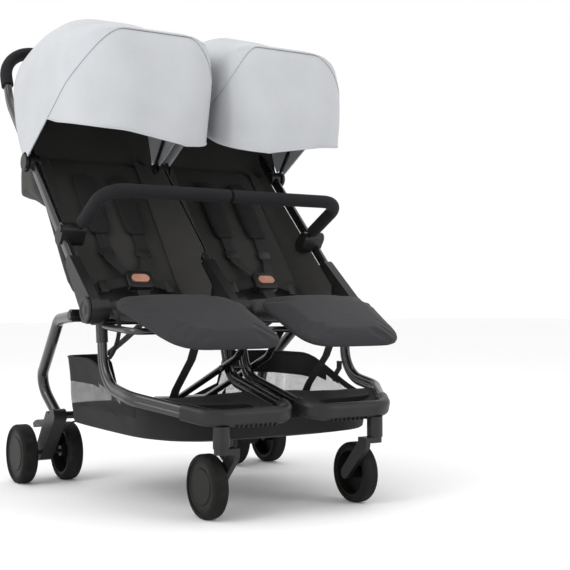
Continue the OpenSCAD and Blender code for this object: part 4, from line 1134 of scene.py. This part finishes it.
def front_panel(u, v):
    """Cloth between the runs of a front loop, from the basket's front lip forwards."""
    y = mix(*panel_y, v)
    lean = max(0.0, (loop_mid.y - y) / (loop_mid.y - loop_front.y))
    outer_x = mix(loop_mid.x, loop_front.x, lean) - panel_gap
    outer_z = mix(loop_mid.z, loop_front.z, lean)
    inner_z = mix(loop_inner.z, loop_front.z, (loop_inner.y - y) / (loop_inner.y - loop_front.y))
    p = Vector((mix(outer_x, loop_inner.x + panel_gap, u), y, mix(outer_z, inner_z, u) - panel_drop))
    sag = panel_sag * (0.35 + 0.65 * sin(pi * v)) + ripple(p, *panel_ripple)
    return p - UPWARD * sag * sin(pi * u)


def make_front_panels():
    cut = (panel_w, panel_y[1] - panel_y[0])
    panels, area = thin_sheets("basket_front_panel", 36, 20, cut, front_panel)
    for side, piece in panels.items():
        wear(piece, "basket_cloth", "chassis")
        "front_loop_" + side
    edge = cord_mesh("panel_binding", [front_panel(k / 40, 0) for k in range(41)], panel_binding_r)
    worn(edge, "panel_binding", "basket_cloth", "chassis")


def make_basket():
    basket = closed_grid("basket_cloth", 160, 40, basket_cut, basket_place)
    if min(basket.data.polygons, key=lambda f: f.center.z).normal.z > 0:
        basket.data.flip_normals()
    for slot in ("basket_cloth", "basket_net"):
        basket.data.materials.append(finish[slot].material)
    for face in basket.data.polygons:
        if is_window(face.center):
            face.material_index = 1
    wall(basket, basket_t, 1.0)
    smooth(basket, 50)
    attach(basket, "chassis")
    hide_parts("basket")
    make_front_panels()
    rim = cord_mesh("basket_rim", [basket_place(k / 200, 0) for k in range(200)], basket_rim_r, True)
    wear(rim, "basket_cloth", "chassis")


# Bumper bar, handle and hinges

def make_foam(name, node, body, *form):
    for side, piece in worn(sleeve(name, *form), name, "grip_foam", body):
        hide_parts(node)


def make_bar():
    seat, corner = on_push(bar_x, *bar_seat), Vector((bar_x, *bar_front))
    start = seat + (corner - seat).normalized() * bar_foam_start
    middle = Vector((bar_middle_x, *bar_front))
    path = spread(rounded_path([start, corner, middle], [bar_corner_r]), 0.004)
    make_foam("bar_foam_half", "bar_foam", "bumper_bar", path, bar_foam_r, bar_foam_r, UPWARD, bar_end_r)


def make_grips():
    knee, corner = on_push(push_x, knee_s), Vector((push_x, *handle))
    start, end = knee.lerp(corner, grip_start_share), Vector((tee_half_w + tee_gap, *handle))
    neck = (corner - knee).normalized()
    path = spread(rounded_path([start, corner, end], [handle_corner_r], 16), 0.005)
    across = Vector((0, -neck.z, neck.y))
    make_foam("handle_grip_foam", "handle_grips", "upper_frame", path, grip_half_d, grip_half_w, across,
              grip_end_r)


def make_hinge_covers():
    """Round covers over the side hinges, each turned with a raised rim and a dished face."""
    last = len(cover_profile) - 1

    def place(u, v):
        r, x = cover_profile[round(v * last)]
        return Vector((x, hinge.y + r * cos(2 * pi * u), hinge.z + r * sin(2 * pi * u)))

    cover = closed_grid("hinge_cover", 64, last, cover_cut, place)
    smooth(cover, 35)
    worn(cover, "hinge_cover", "plastic_black", "upper_frame")


def finish_nodes():
    """Every node that stays shown gets the finish of its slot."""
    for part in frame["record"]["subparts"]:
        node = nodes[part["node"]]
        node.data.materials.clear()
        node.data.materials.append(finish[part["material_slot"]].material)


# Studio

def make_studio():
    deselect()
    bpy.ops.mesh.primitive_plane_add(size=floor_size, location=(0, 0, 0))
    floor = named("studio_floor")
    paper = Finish("studio_paper", Roughness=0.9)
    paper.paint(Base_Color=paper.shades(paper.speckle(3, 2), (1, 1, 1), *floor_tones))
    floor.data.materials.append(paper.material)
    world = bpy.data.worlds.new("studio")
    world.use_nodes = True
    sky = world.node_tree.nodes["Background"]
    sky.inputs["Color"].default_value = (1, 1, 1, 1)
    sky.inputs["Strength"].default_value = 1.0
    bpy.context.scene.world = world
    for name, (place, (width, height), power) in lights.items():
        light = bpy.data.lights.new(name, "AREA")
        light.shape = "RECTANGLE"
        light.size, light.size_y, light.energy = width, height, power
        lamp = linked(name, light)
        lamp.location = place
        lamp.rotation_euler = (lights_aim - Vector(place)).to_track_quat("-Z", "Y").to_euler()
    bpy.context.scene.view_settings.view_transform = "Standard"


def make_camera():
    lens = bpy.data.cameras.new("camera")
    lens.lens, lens.sensor_width = camera_lens, camera_sensor_w
    camera = linked("camera", lens)
    camera.location = camera_at
    camera.rotation_euler = camera_aim.to_track_quat("-Z", "Y").to_euler()
    bpy.context.scene.camera = camera


make_camera()
make_studio()
finish_nodes()
make_hoods()
make_seats()
make_hood_backs()
make_wings()
make_harness()
make_straps()
make_hinge_strap()
make_basket()
make_bar()
make_grips()
make_hinge_covers()
